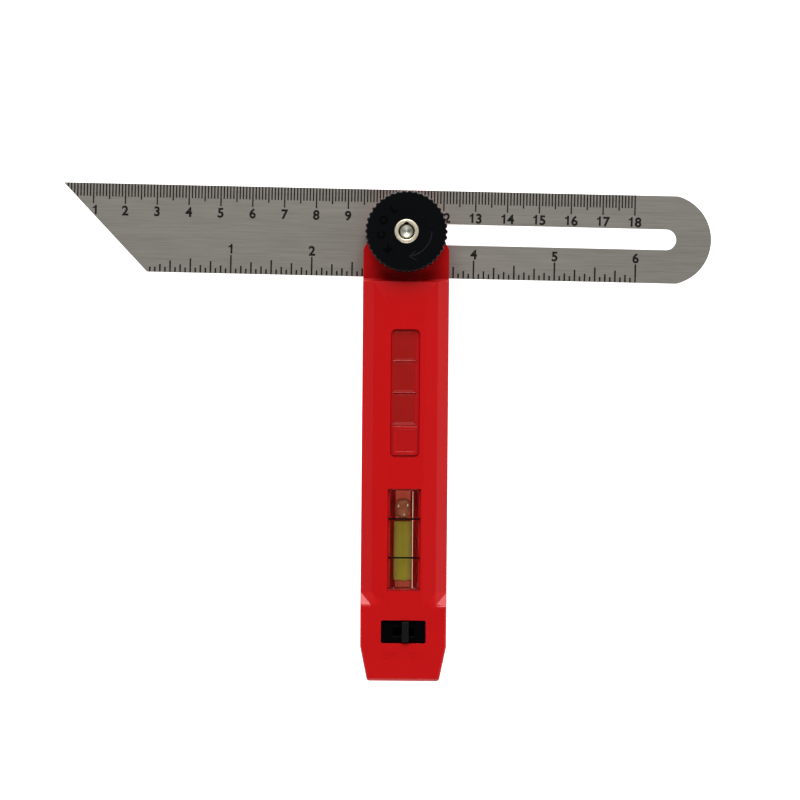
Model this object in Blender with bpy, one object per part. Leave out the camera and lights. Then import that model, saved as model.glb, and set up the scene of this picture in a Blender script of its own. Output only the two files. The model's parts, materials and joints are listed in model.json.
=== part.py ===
"""Sliding bevel gauge with a slotted rule blade, a lock knob, a level vial and a vial lamp.

The gauge lies on its back.  X runs along the blade, Y runs up the handle, Z is the thickness.
The origin is on the pivot axis, in the plane of the handle's rear face.
"""
import math

import bmesh
import bpy
from mathutils import Matrix, Vector

MM = 0.001
GAP = 0.3 * MM            # running gap between touching pieces
PAST = 1.0 * MM           # how far a cutter runs past the face it opens
ROUND = 32                # segments of a small round piece

# Handle outline
HALF_WIDTH = 13.4 * MM
BUTT_Y = -139.5 * MM
TAPER_Y = -128.8 * MM
BUTT_HALF_WIDTH = 11.2 * MM
BUTT_CORNER = 1.0 * MM
EAR_RADIUS = 12.4 * MM
EAR_NECK_Y = -2.8 * MM    # where the ear's arc ends
EAR_FLARE_Y = -5.2 * MM   # where the handle reaches its full width

# Handle layers, from the rear face up
REAR_TOP = 5.4 * MM       # inner face of the back plate
FRONT_BOTTOM = 7.0 * MM   # inner face of the front body
EAR_TOP = 11.5 * MM
FACE_TOP = 17.0 * MM
SLOT_DEPTH_Y = -113.0 * MM  # closed end of the blade slot

# Facets of the front face
LEDGE_Y = -14.3 * MM
LEDGE_TOP_Y = -15.4 * MM
HIP_Y = -21.9 * MM
FACET_END_Y = -112.0 * MM
PLAIN_Y = -116.0 * MM
FLAT_HALF = 6.0 * MM
FACET_HALF = 10.0 * MM
FACET_Z = 16.2 * MM
SHOULDER_Z = 14.6 * MM
FACE_ROUND = 0.8 * MM     # rounding of the butt's edges

# Blade
REST_TILT = math.radians(-0.84)
BLADE_HALF_WIDTH = 13.75 * MM
BLADE_THICK = 1.0 * MM
BLADE_BOTTOM = REAR_TOP + GAP
BLADE_TOP = BLADE_BOTTOM + BLADE_THICK
TIP_U = -108.0 * MM       # along the blade from the pivot
BEVEL_RUN = 26.8 * MM
SLOT_HALF = 3.25 * MM
SLOT_NEAR_U = -5.0 * MM
SLOT_FAR_U = 81.5 * MM
BLADE_END_RADIUS = 14.2 * MM

# Pivot stack
BOLT_HEAD_RADIUS = 6.0 * MM
BOLT_HEAD_TOP = 2.7 * MM
BOLT_NECK_HALF = 2.4 * MM
BOLT_NECK_TOP = 3.6 * MM
BOLT_SHANK_RADIUS = 2.1 * MM
BOLT_THREAD_RADIUS = 2.25 * MM
BOLT_THREAD_BOTTOM = 9.0 * MM
BOLT_TOP = 19.8 * MM
SHAFT_BORE_RADIUS = 2.9 * MM  # bore round the bolt in the front body and the knob's base
BUSH_HALF = 2.95 * MM
BUSH_BORE_RADIUS = BOLT_SHANK_RADIUS + GAP
BUSH_BOTTOM = 4.2 * MM
BUSH_TOP = 8.2 * MM
FRICTION_RADIUS = 8.0 * MM
FRICTION_THICK = 0.5 * MM
KNOB_WASHER_RADIUS = 8.0 * MM
KNOB_WASHER_THICK = 1.0 * MM
KNOB_RADIUS = 12.8 * MM
KNOB_TEETH = 42
KNOB_TOOTH_DEPTH = 0.5 * MM
KNOB_BOTTOM = EAR_TOP + GAP + KNOB_WASHER_THICK + GAP
KNOB_TOP = 20.4 * MM
INSERT_RADIUS = 3.75 * MM
INSERT_BORE_RADIUS = BOLT_THREAD_RADIUS + GAP
INSERT_TOP = 20.8 * MM

# Vial
VIAL_WINDOW_HALF = 5.15 * MM
VIAL_TOP_Y = -79.8 * MM
VIAL_LOW_Y = -111.4 * MM
VIAL_HALF = 4.4 * MM
VIAL_BORE_RADIUS = 3.0 * MM
VIAL_AXIS_Z = 12.1 * MM
VIAL_FLOOR_Z = 8.7 * MM
RING_Y = (-89.1 * MM, -101.2 * MM)
RING_WIDTH = 0.5 * MM
RING_INNER = 4.6 * MM
RING_OUTER = 4.85 * MM

# Battery compartment, along the handle
CELL_RADIUS = 3.95 * MM
CELL_THICK = 3.6 * MM
CELL_PITCH = 9.85 * MM
CELL_FIRST_Y = -35.3 * MM
BATTERY_HALF = 4.5 * MM
BATTERY_TOP_Y = -30.2 * MM
BATTERY_DEEP_END_Y = -59.9 * MM
BATTERY_LOW_Y = -70.0 * MM
BATTERY_CORNER = 1.5 * MM
BATTERY_FLOOR_Z = 9.6 * MM
LATCH_FLOOR_Z = 13.5 * MM
CONTACT_THICK = 0.4 * MM
COVER_THICK = 0.9 * MM
COVER_GROOVE_HALF = 3.5 * MM
LATCH_HALF = 3.4 * MM

# Switch bay and inner cover
BAY_HALF = 7.3 * MM
BAY_TOP_Y = -113.5 * MM
BAY_LOW_Y = -128.6 * MM
BAY_ROOF_Z = 15.2 * MM
SWITCH_Y = -124.2 * MM
SWITCH_WINDOW_HALF_X = 6.95 * MM
SWITCH_WINDOW_HALF_Y = 3.6 * MM
SWITCH_REST_X = 0.6 * MM
SWITCH_REACH_LEFT = 2.6 * MM
SWITCH_REACH_RIGHT = 1.4 * MM
COVER_PLATE_HALF = 8.3 * MM
COVER_PLATE_TOP_Y = -66.0 * MM
COVER_PLATE_LOW_Y = -132.5 * MM
COVER_PLATE_THICK = 1.4 * MM
HOUSING_HALF_X = 7.0 * MM
HOUSING_HALF_Y = 4.1 * MM
HOUSING_TOP = FACE_TOP - 1.0 * MM
STEM_HALF_X = 0.9 * MM
STEM_HALF_Y = 1.2 * MM
STEM_BOTTOM = 13.3 * MM
RIDGE_HALF_X = 1.05 * MM
RIDGE_HALF_Y = 3.1 * MM
RIDGE_TOP = FACE_TOP + 0.9 * MM

# Board, lamp and leads
BOARD_BOTTOM = 9.0 * MM
BOARD_TOP = 10.0 * MM
BOARD_HALF = 6.9 * MM
BOARD_LOW_Y = -128.2 * MM
BOARD_TOP_Y = -114.0 * MM
TERMINAL_PITCH = 2.5 * MM
TERMINAL_RADIUS = 0.35 * MM
LED_RADIUS = 1.5 * MM
LED_FLANGE_RADIUS = 1.9 * MM
LED_FLANGE_THICK = 1.0 * MM
LED_AXIS_Z = 12.3 * MM
LED_NOSE_Y = -112.3 * MM
LED_BASE_Y = -116.6 * MM
LEG_SPREAD = 1.27 * MM
LEG_RADIUS = 0.25 * MM
RESISTOR_X = 4.6 * MM
RESISTOR_TOP_Y = -115.4 * MM
RESISTOR_LOW_Y = -119.2 * MM
RESISTOR_RADIUS = 0.9 * MM
LEAD_RADIUS = 0.45 * MM
LEAD_Z = 9.6 * MM
LEAD_ROOM = 0.25 * MM     # between a lead and its channel's walls
LEAD_SIDE_X = 6.5 * MM    # beside the vial
LEAD_TURN_Y = -73.8 * MM
LEAD_BEND_Y = -76.4 * MM
LEAD_END_Y = -113.7 * MM
NEGATIVE_X = -3.4 * MM
NEGATIVE_START_Y = -60.3 * MM
POSITIVE_X = 5.7 * MM
POSITIVE_START_Y = -34.4 * MM
CHANNEL_TOP = 10.4 * MM

# Screws
HANDLE_SCREWS = ((-10.6 * MM, -117.0 * MM), (10.6 * MM, -117.0 * MM),
                 (-7.0 * MM, -135.6 * MM), (7.0 * MM, -135.6 * MM))
HANDLE_SCREW_RADIUS = 1.0 * MM
HANDLE_SCREW_HEAD_RADIUS = 2.0 * MM
HANDLE_SCREW_HEAD = (0.4 * MM, 2.1 * MM)   # bottom and top of the head
HANDLE_SCREW_TIP = 12.0 * MM
COVER_SCREWS = ((0.0, -74.5 * MM), (0.0, -130.6 * MM))
COVER_SCREW_RADIUS = 0.7 * MM
COVER_SCREW_HEAD_RADIUS = 1.5 * MM
COVER_SCREW_HEAD = (FRONT_BOTTOM + 0.1 * MM, FRONT_BOTTOM + 0.8 * MM)
COVER_SCREW_TIP = 11.6 * MM

RED = (0.503, 0.010, 0.012)
DARK_RED = (0.300, 0.012, 0.012)
BLACK = (0.004, 0.005, 0.006)
STEEL = (0.262, 0.250, 0.226)
NICKEL = (0.620, 0.560, 0.420)
ZINC = (0.550, 0.560, 0.560)
CLEAR = (0.800, 0.820, 0.800)
LIQUID = (0.250, 0.240, 0.030)
BOARD_GREEN = (0.020, 0.120, 0.040)
FIBRE = (0.030, 0.030, 0.030)
BUFF = (0.500, 0.400, 0.250)


# ---------------------------------------------------------------- helpers

def clear_scene():
    for item in list(bpy.data.objects):
        bpy.data.objects.remove(item, do_unlink=True)


def material(name, colour, roughness, metallic):
    made = bpy.data.materials.new(name)
    made.use_nodes = True
    shader = made.node_tree.nodes["Principled BSDF"]
    shader.inputs["Base Color"].default_value = (*colour, 1.0)
    shader.inputs["Roughness"].default_value = roughness
    shader.inputs["Metallic"].default_value = metallic
    return made


def link_mesh(name, shape):
    """Turn a bmesh into a linked object."""
    bmesh.ops.recalc_face_normals(shape, faces=shape.faces)
    mesh = bpy.data.meshes.new(name)
    shape.to_mesh(mesh)
    shape.free()
    mesh.shade_smooth()
    mesh.set_sharp_from_angle(angle=math.radians(35.0))
    made = bpy.data.objects.new(name, mesh)
    bpy.context.scene.collection.objects.link(made)
    return made


def piece(name, shape, colour, roughness=0.4, metallic=0.0, parent=None):
    made = link_mesh(name, shape)
    made.data.materials.append(material(name, colour, roughness, metallic))
    made.parent = parent
    return made


def empty(name, location=(0.0, 0.0, 0.0), turn=0.0):
    made = bpy.data.objects.new(name, None)
    made.location = location
    made.rotation_euler.z = turn
    bpy.context.scene.collection.objects.link(made)
    return made


def boolean(target, shape, operation):
    """Cut or join a helper solid, which stays in the file as a wire guide."""
    count = len(target.modifiers)
    tool = link_mesh(f"{target.name}_tool_{count:02d}", shape)
    tool.parent = target.parent
    tool.hide_render = True
    tool.display_type = "WIRE"
    step = target.modifiers.new(f"{operation.lower()}_{count:02d}", "BOOLEAN")
    step.operation = operation
    step.solver = "EXACT"
    step.object = tool


def cut(target, shape):
    boolean(target, shape, "DIFFERENCE")


def join(target, shape):
    boolean(target, shape, "UNION")


def prism(outline, bottom, top):
    """Extrude a flat outline, given as (x, y) points, between two heights."""
    shape = bmesh.new()
    corners = [shape.verts.new((x, y, bottom)) for x, y in outline]
    face = shape.faces.new(corners)
    raised = bmesh.ops.extrude_face_region(shape, geom=[face])
    moved = [item for item in raised["geom"] if isinstance(item, bmesh.types.BMVert)]
    bmesh.ops.translate(shape, verts=moved, vec=(0.0, 0.0, top - bottom))
    return shape


def box(x_low, x_high, y_low, y_high, bottom, top):
    return prism([(x_low, y_low), (x_high, y_low), (x_high, y_high), (x_low, y_high)], bottom, top)


def rounded_outline(half_x, half_y, radius, centre_y, steps=6):
    """A rectangle with round corners, centred on x = 0."""
    points = []
    for turn, (side_x, side_y) in enumerate(((1, -1), (1, 1), (-1, 1), (-1, -1))):
        for step in range(steps + 1):
            angle = math.radians(-90.0 + 90.0 * turn + 90.0 * step / steps)
            points.append((side_x * (half_x - radius) + radius * math.cos(angle),
                           centre_y + side_y * (half_y - radius) + radius * math.sin(angle)))
    return points


def arc(centre_x, centre_y, radius, start, end, steps):
    """Points of an arc, with angles in degrees."""
    turns = [math.radians(start + (end - start) * step / steps) for step in range(steps + 1)]
    return [(centre_x + radius * math.cos(turn), centre_y + radius * math.sin(turn)) for turn in turns]


def disc(x, y, radius, bottom, top, segments=ROUND):
    ring = [math.tau * step / segments for step in range(segments)]
    return prism([(x + radius * math.cos(turn), y + radius * math.sin(turn)) for turn in ring], bottom, top)


def turned(rings, segments=ROUND, x=0.0, y=0.0):
    """Bridge round (radius, height) rings from the bottom to the top and cap both ends."""
    shape = bmesh.new()
    loops = []
    for radius, height in rings:
        loops.append([shape.verts.new((x + radius * math.cos(math.tau * step / segments),
                                       y + radius * math.sin(math.tau * step / segments), height))
                      for step in range(segments)])
    for low, high in zip(loops, loops[1:]):
        for step in range(segments):
            after = (step + 1) % segments
            shape.faces.new((low[step], low[after], high[after], high[step]))
    shape.faces.new(reversed(loops[0]))
    shape.faces.new(loops[-1])
    return shape


def washer(name, outer, inner, bottom, top, colour, roughness, metallic, parent=None):
    ring = piece(name, disc(0.0, 0.0, outer, bottom, top), colour, roughness, metallic, parent)
    cut(ring, disc(0.0, 0.0, inner, bottom - PAST, top + PAST))
    return ring


def along_y(shape, x, z):
    """Lay a shape that was turned about Z along Y: its height becomes the Y position."""
    lay_down = Matrix.Rotation(math.radians(-90.0), 3, "X")
    bmesh.ops.rotate(shape, verts=shape.verts, cent=(0.0, 0.0, 0.0), matrix=lay_down)
    bmesh.ops.translate(shape, verts=shape.verts, vec=(x, 0.0, z))
    return shape


def wire(name, points, radius, colour, metallic=0.0):
    """A round wire along the given points."""
    path = bpy.data.curves.new(name, "CURVE")
    path.dimensions = "3D"
    path.bevel_depth = radius
    path.bevel_resolution = 2
    path.use_fill_caps = True
    spline = path.splines.new("POLY")
    spline.points.add(len(points) - 1)
    for point, place in zip(spline.points, points):
        point.co = (*place, 1.0)
    path.materials.append(material(name, colour, 0.45, metallic))
    made = bpy.data.objects.new(name, path)
    bpy.context.scene.collection.objects.link(made)
    return made


# ---------------------------------------------------------------- handle

def ear_arc():
    """The round ear over the pivot, flared out on both sides to the handle's full width."""
    reach = -math.degrees(math.asin(EAR_NECK_Y / EAR_RADIUS))
    rounded = arc(0.0, 0.0, EAR_RADIUS, -reach, 180.0 + reach, 44)
    return [(HALF_WIDTH, EAR_FLARE_Y)] + rounded + [(-HALF_WIDTH, EAR_FLARE_Y)]


def ear_outline(low_y):
    """The ear with straight sides down to low_y."""
    return ear_arc() + [(-HALF_WIDTH, low_y), (HALF_WIDTH, low_y)]


def butt_outline(top_y):
    """The lower end of the handle, from top_y to the butt, with its side tapers."""
    lean = math.degrees(math.atan((HALF_WIDTH - BUTT_HALF_WIDTH) / (TAPER_Y - BUTT_Y)))
    right = [(HALF_WIDTH, top_y), (HALF_WIDTH, TAPER_Y)]
    right += arc(BUTT_HALF_WIDTH - BUTT_CORNER, BUTT_Y + BUTT_CORNER, BUTT_CORNER, -lean, -90.0, 5)
    left = [(-x, y) for x, y in reversed(right)]
    return right + left


def facet_section(y, half, shoulder, facet, flat):
    """Cross-section of the front body's upper part at one place along the handle."""
    ratio = half / HALF_WIDTH
    side = [(half, FRONT_BOTTOM), (half, shoulder), (FACET_HALF * ratio, facet), (FLAT_HALF * ratio, flat)]
    both = side + [(-x, z) for x, z in reversed(side)]
    return [Vector((x, y, z)) for x, z in both]


def faceted_body():
    """The long upper part of the front body: a ledge, a hipped top end, facets and a plain butt."""
    stations = (
        (LEDGE_Y, HALF_WIDTH, EAR_TOP, EAR_TOP, EAR_TOP),
        (LEDGE_TOP_Y, HALF_WIDTH, SHOULDER_Z, FACET_Z, FACET_Z),
        (HIP_Y, HALF_WIDTH, SHOULDER_Z, FACET_Z, FACE_TOP),
        (FACET_END_Y, HALF_WIDTH, SHOULDER_Z, FACET_Z, FACE_TOP),
        (PLAIN_Y, HALF_WIDTH, FACE_TOP, FACE_TOP, FACE_TOP),
        (TAPER_Y, HALF_WIDTH, FACE_TOP, FACE_TOP, FACE_TOP),
        (BUTT_Y, BUTT_HALF_WIDTH, FACE_TOP, FACE_TOP, FACE_TOP),
    )
    shape = bmesh.new()
    loops = [[shape.verts.new(point) for point in facet_section(*station)] for station in stations]
    for near, far in zip(loops, loops[1:]):
        for step in range(len(near)):
            after = (step + 1) % len(near)
            if step < len(near) // 2:
                shape.faces.new((near[step], near[after], far[after]))
                shape.faces.new((near[step], far[after], far[step]))
            else:
                shape.faces.new((near[step], near[after], far[step]))
                shape.faces.new((near[after], far[after], far[step]))
    shape.faces.new(loops[0])
    shape.faces.new(reversed(loops[-1]))
    bmesh.ops.recalc_face_normals(shape, faces=shape.faces)
    bmesh.ops.dissolve_limit(shape, angle_limit=math.radians(0.5), verts=shape.verts, edges=shape.edges)
    soften_butt(shape)
    return shape


def soften_butt(shape):
    """Round the plain face's outer edges and the butt's upright corners."""
    chosen = []
    for edge in shape.edges:
        highest_y = max(vert.co.y for vert in edge.verts)
        on_face = all(abs(vert.co.z - FACE_TOP) < 1e-6 for vert in edge.verts)
        upright = all(abs(vert.co.y - BUTT_Y) < 1e-6 for vert in edge.verts)
        underneath = all(abs(vert.co.z - FRONT_BOTTOM) < 1e-6 for vert in edge.verts)
        in_plain_part = highest_y < PLAIN_Y + 1e-6 and edge.calc_face_angle(0.0) > 0.5
        if in_plain_part and (on_face or upright) and not underneath:
            chosen.append(edge)
    bmesh.ops.bevel(shape, geom=chosen, offset=FACE_ROUND, segments=3, profile=0.5, affect="EDGES")


def front_body(frame):
    body = piece("handle_front_body", faceted_body(), RED, 0.32, 0.0, frame)
    join(body, prism(ear_outline(LEDGE_Y - 4.0 * MM), FRONT_BOTTOM, EAR_TOP))
    join(body, prism(butt_outline(SLOT_DEPTH_Y), REAR_TOP + GAP, FRONT_BOTTOM + PAST))
    # Pivot bores
    washer_floor = FRONT_BOTTOM + FRICTION_THICK + GAP
    cut(body, disc(0.0, 0.0, FRICTION_RADIUS + GAP, FRONT_BOTTOM - PAST, washer_floor, 48))
    cut(body, disc(0.0, 0.0, BUSH_HALF + GAP, FRONT_BOTTOM - PAST, BUSH_TOP + GAP))
    cut(body, disc(0.0, 0.0, SHAFT_BORE_RADIUS, FRONT_BOTTOM - PAST, EAR_TOP + PAST))
    # Battery compartment: a shallow frame with a deep pocket for the cells
    battery_mid = (BATTERY_TOP_Y + BATTERY_LOW_Y) / 2
    battery_half_y = (BATTERY_TOP_Y - BATTERY_LOW_Y) / 2
    frame_outline = rounded_outline(BATTERY_HALF, battery_half_y, BATTERY_CORNER, battery_mid)
    cut(body, prism(frame_outline, LATCH_FLOOR_Z, FACE_TOP + PAST))
    cut(body, box(-BATTERY_HALF + 0.2 * MM, BATTERY_HALF - 0.2 * MM, BATTERY_DEEP_END_Y,
                  BATTERY_TOP_Y - 0.4 * MM, BATTERY_FLOOR_Z, LATCH_FLOOR_Z + PAST))
    # Vial window, switch bay and switch window
    cut(body, box(-VIAL_WINDOW_HALF, VIAL_WINDOW_HALF, VIAL_LOW_Y, VIAL_TOP_Y,
                  FRONT_BOTTOM - PAST, FACE_TOP + PAST))
    cut(body, box(-BAY_HALF, BAY_HALF, BAY_LOW_Y, BAY_TOP_Y, REAR_TOP - PAST, BAY_ROOF_Z))
    window = rounded_outline(SWITCH_WINDOW_HALF_X, SWITCH_WINDOW_HALF_Y, 0.5 * MM, SWITCH_Y, 3)
    cut(body, prism(window, BAY_ROOF_Z - PAST, FACE_TOP + PAST))
    led_hole = disc(0.0, 0.0, LED_RADIUS + GAP, BAY_TOP_Y - PAST, VIAL_LOW_Y + PAST)
    cut(body, along_y(led_hole, 0.0, LED_AXIS_Z))
    # Seat of the inner cover
    cut(body, box(-COVER_PLATE_HALF - GAP, COVER_PLATE_HALF + GAP, COVER_PLATE_LOW_Y - GAP,
                  COVER_PLATE_TOP_Y + GAP, REAR_TOP - PAST, FRONT_BOTTOM + COVER_PLATE_THICK + GAP))
    lead_channels(body)
    screw_holes(body)
    return body


def lead_channels(body):
    """Channels that take the two lamp leads from the battery past the vial to the board."""
    bottom = VIAL_FLOOR_Z - 0.5 * MM
    room = LEAD_RADIUS + LEAD_ROOM
    inner_x = LEAD_SIDE_X - room
    outer_x = LEAD_SIDE_X + room
    bend_low = LEAD_BEND_Y - PAST
    bend_high = LEAD_TURN_Y + PAST
    for side in (-1, 1):
        near_x, far_x = sorted((side * inner_x, side * outer_x))
        cut(body, box(near_x, far_x, BAY_TOP_Y - PAST, bend_high, bottom, CHANNEL_TOP))
    cut(body, box(-outer_x, NEGATIVE_X + room, bend_low, bend_high, bottom, CHANNEL_TOP))
    cut(body, box(POSITIVE_X - room, outer_x, bend_low, bend_high, bottom, CHANNEL_TOP))
    for x, start_y in ((NEGATIVE_X, NEGATIVE_START_Y), (POSITIVE_X, POSITIVE_START_Y)):
        cut(body, box(x - room, x + room, LEAD_TURN_Y, start_y + 2 * LEAD_RADIUS, VIAL_FLOOR_Z, CHANNEL_TOP))
    # Way from the positive lead's channel into the cells' pocket
    cut(body, box(BATTERY_HALF - 0.5 * MM, POSITIVE_X, POSITIVE_START_Y - 1.6 * MM,
                  POSITIVE_START_Y + 2 * LEAD_RADIUS, BATTERY_FLOOR_Z, CHANNEL_TOP + 0.4 * MM))


def screw_holes(body):
    for x, y in HANDLE_SCREWS:
        cut(body, disc(x, y, HANDLE_SCREW_RADIUS + GAP, REAR_TOP - PAST, HANDLE_SCREW_TIP + PAST, 16))
    for x, y in COVER_SCREWS:
        cut(body, disc(x, y, COVER_SCREW_RADIUS + GAP, FRONT_BOTTOM, COVER_SCREW_TIP + 2 * GAP, 16))


def back_plate(frame):
    butt = [(x, y) for x, y in reversed(butt_outline(TAPER_Y)) if y < TAPER_Y]
    outline = ear_arc() + [(-HALF_WIDTH, TAPER_Y)] + butt + [(HALF_WIDTH, TAPER_Y)]
    shape = prism(outline, 0.0, REAR_TOP)
    rear_edges = [edge for edge in shape.edges if all(vert.co.z < 1e-6 for vert in edge.verts)]
    bmesh.ops.recalc_face_normals(shape, faces=shape.faces)
    bmesh.ops.bevel(shape, geom=rear_edges, offset=FACE_ROUND, segments=2, profile=0.5, affect="EDGES")
    plate = piece("handle_back_plate", shape, RED, 0.32, 0.0, frame)
    cut(plate, disc(0.0, 0.0, BOLT_HEAD_RADIUS + GAP, -PAST, BOLT_HEAD_TOP + GAP, 40))
    neck = BOLT_NECK_HALF + GAP
    cut(plate, box(-neck, neck, -neck, neck, BOLT_HEAD_TOP, BOLT_NECK_TOP + 0.8 * MM))
    cut(plate, disc(0.0, 0.0, BUSH_HALF + GAP, BUSH_BOTTOM - GAP, REAR_TOP + PAST))
    cut(plate, disc(0.0, 0.0, FRICTION_RADIUS + GAP, REAR_TOP - FRICTION_THICK - GAP, REAR_TOP + PAST, 48))
    for x, y in HANDLE_SCREWS:
        cut(plate, disc(x, y, HANDLE_SCREW_HEAD_RADIUS + GAP, -PAST, HANDLE_SCREW_HEAD[1] + GAP, 24))
        cut(plate, disc(x, y, HANDLE_SCREW_RADIUS + GAP, -PAST, REAR_TOP + PAST, 16))


def screw(name, place, radius, head_radius, head, tip, frame):
    """A pan-head screw that points up, with a cross recess in its head."""
    x, y = place
    bottom, top = head
    crown = 0.4 * MM if head_radius > 1.8 * MM else 0.3 * MM
    rings = [(head_radius - crown, bottom), (head_radius, bottom + crown), (head_radius, top),
             (radius, top), (radius, tip - radius), (0.3 * radius, tip)]
    made = piece(name, turned(rings, 20, x, y), ZINC, 0.3, 1.0, frame)
    long_half = 0.5 * head_radius
    short_half = 0.12 * head_radius
    recess_top = bottom + 0.55 * (top - bottom)
    for half_x, half_y in ((long_half, short_half), (short_half, long_half)):
        cut(made, box(x - half_x, x + half_x, y - half_y, y + half_y, bottom - PAST, recess_top))


def handle_screws(frame):
    for number, place in enumerate(HANDLE_SCREWS, 1):
        screw(f"handle_screw_{number}", place, HANDLE_SCREW_RADIUS, HANDLE_SCREW_HEAD_RADIUS,
              HANDLE_SCREW_HEAD, HANDLE_SCREW_TIP, frame)
    for number, place in enumerate(COVER_SCREWS, 1):
        screw(f"cover_screw_{number}", place, COVER_SCREW_RADIUS, COVER_SCREW_HEAD_RADIUS,
              COVER_SCREW_HEAD, COVER_SCREW_TIP, frame)


def inner_cover(frame):
    """The plate that closes the lamp and vial space from the blade slot's side."""
    bottom = FRONT_BOTTOM
    top = bottom + COVER_PLATE_THICK
    sheet = box(-COVER_PLATE_HALF, COVER_PLATE_HALF, COVER_PLATE_LOW_Y, COVER_PLATE_TOP_Y, bottom, top)
    plate = piece("inner_cover", sheet, RED, 0.4, 0.0, frame)
    for x, y in COVER_SCREWS:
        cut(plate, disc(x, y, COVER_SCREW_HEAD_RADIUS + GAP, bottom - PAST, COVER_SCREW_HEAD[1] + GAP, 20))
        cut(plate, disc(x, y, COVER_SCREW_RADIUS + GAP, bottom, top + PAST, 16))


# ---------------------------------------------------------------- pivot, blade and knob

def pivot_bolt(frame):
    head = [(4.6 * MM, 0.0), (5.6 * MM, 0.6 * MM), (BOLT_HEAD_RADIUS, 1.5 * MM),
            (BOLT_HEAD_RADIUS, BOLT_HEAD_TOP)]
    shank = [(BOLT_SHANK_RADIUS, BOLT_HEAD_TOP), (BOLT_SHANK_RADIUS, BOLT_THREAD_BOTTOM),
             (BOLT_THREAD_RADIUS, BOLT_THREAD_BOTTOM + 0.3 * MM), (BOLT_THREAD_RADIUS, BOLT_TOP - 0.3 * MM),
             (BOLT_THREAD_RADIUS - 0.25 * MM, BOLT_TOP)]
    bolt = piece("pivot_bolt", turned(head + shank), ZINC, 0.3, 1.0, frame)
    join(bolt, box(-BOLT_NECK_HALF, BOLT_NECK_HALF, -BOLT_NECK_HALF, BOLT_NECK_HALF,
                   BOLT_HEAD_TOP - 0.5 * MM, BOLT_NECK_TOP))
    dimple = turned([(0.3 * MM, BOLT_TOP - 0.7 * MM), (1.3 * MM, BOLT_TOP + 0.1 * MM)], 24)
    cut(bolt, dimple)


def friction_washers(frame):
    for side, bottom in (("back", REAR_TOP - FRICTION_THICK), ("front", FRONT_BOTTOM)):
        washer(f"friction_washer_{side}", FRICTION_RADIUS, BUSH_HALF + GAP, bottom, bottom + FRICTION_THICK,
               FIBRE, 0.7, 0.0, frame)


def slot_bush(pivot):
    """The square block that guides the blade's slot, with a round journal in each handle half."""
    bush = piece("slot_bush", disc(0.0, 0.0, BUSH_HALF, BUSH_BOTTOM, BUSH_TOP), ZINC, 0.35, 1.0, pivot)
    join(bush, box(-BUSH_HALF, BUSH_HALF, -BUSH_HALF, BUSH_HALF, BLADE_BOTTOM, BLADE_TOP))
    cut(bush, disc(0.0, 0.0, BUSH_BORE_RADIUS, BUSH_BOTTOM - PAST, BUSH_TOP + PAST))


def blade(pivot):
    """The slotted rule: a 45 degree point at one end and a round end at the other."""
    meet = math.degrees(math.asin(BLADE_HALF_WIDTH / BLADE_END_RADIUS))
    outline = [(TIP_U, BLADE_HALF_WIDTH), (TIP_U + BEVEL_RUN, -BLADE_HALF_WIDTH)]
    outline += arc(SLOT_FAR_U, 0.0, BLADE_END_RADIUS, -meet, meet, 40)
    rule = piece("blade", prism(outline, BLADE_BOTTOM, BLADE_TOP), STEEL, 0.35, 1.0, pivot)
    slot = arc(SLOT_FAR_U, 0.0, SLOT_HALF, -90.0, 90.0, 20)
    slot += arc(SLOT_NEAR_U, 0.0, SLOT_HALF, 90.0, 270.0, 20)
    cut(rule, prism(slot, BLADE_BOTTOM - PAST, BLADE_TOP + PAST))


def knob_ring(shape, base_radius, depth, height):
    """One ring of the serrated rim, four points to a tooth."""
    points = []
    count = 4 * KNOB_TEETH
    for step in range(count):
        turn = math.tau * step / count
        radius = base_radius - depth * (0.5 - 0.5 * math.cos(KNOB_TEETH * turn))
        points.append(shape.verts.new((radius * math.cos(turn), radius * math.sin(turn), height)))
    return points


def lock_knob(axis):
    shape = bmesh.new()
    levels = (
        (KNOB_RADIUS - 0.9 * MM, 0.0, KNOB_BOTTOM),
        (KNOB_RADIUS, KNOB_TOOTH_DEPTH, KNOB_BOTTOM + 0.6 * MM),
        (KNOB_RADIUS, KNOB_TOOTH_DEPTH, KNOB_TOP - 1.0 * MM),
        (KNOB_RADIUS - 0.9 * MM, 0.0, KNOB_TOP),
    )
    rings = [knob_ring(shape, *level) for level in levels]
    for low, high in zip(rings, rings[1:]):
        for step in range(len(low)):
            after = (step + 1) % len(low)
            shape.faces.new((low[step], low[after], high[after], high[step]))
    shape.faces.new(reversed(rings[0]))
    shape.faces.new(rings[-1])
    knob = piece("lock_knob", shape, BLACK, 0.45, 0.0, axis)
    cut(knob, disc(0.0, 0.0, INSERT_RADIUS + GAP, KNOB_BOTTOM + 0.3 * MM, KNOB_TOP + PAST, 40))
    cut(knob, disc(0.0, 0.0, SHAFT_BORE_RADIUS, KNOB_BOTTOM - PAST, KNOB_BOTTOM + PAST))


def knob_insert(axis):
    bottom = KNOB_BOTTOM + 0.6 * MM
    chamfer = 0.3 * MM
    rings = [(INSERT_RADIUS, bottom), (INSERT_RADIUS, INSERT_TOP - chamfer),
             (INSERT_RADIUS - chamfer, INSERT_TOP)]
    insert = piece("knob_insert", turned(rings, 40), NICKEL, 0.28, 1.0, axis)
    cut(insert, disc(0.0, 0.0, INSERT_BORE_RADIUS, bottom - PAST, INSERT_TOP + PAST))


# ---------------------------------------------------------------- vial

def arch_outline(half, bottom):
    """A flat-bottomed arch seen along the handle: round over the vial axis, straight below it."""
    return [(-half, bottom - VIAL_AXIS_Z), (half, bottom - VIAL_AXIS_Z)] + arc(0.0, 0.0, half, 0.0, 180.0, 24)


def stand_along_y(outline, y_low, y_high):
    """Extrude an outline of (x, z from the vial axis) points along Y."""
    shape = prism([(x, -z) for x, z in outline], y_low, y_high)
    return along_y(shape, 0.0, VIAL_AXIS_Z)


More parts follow.
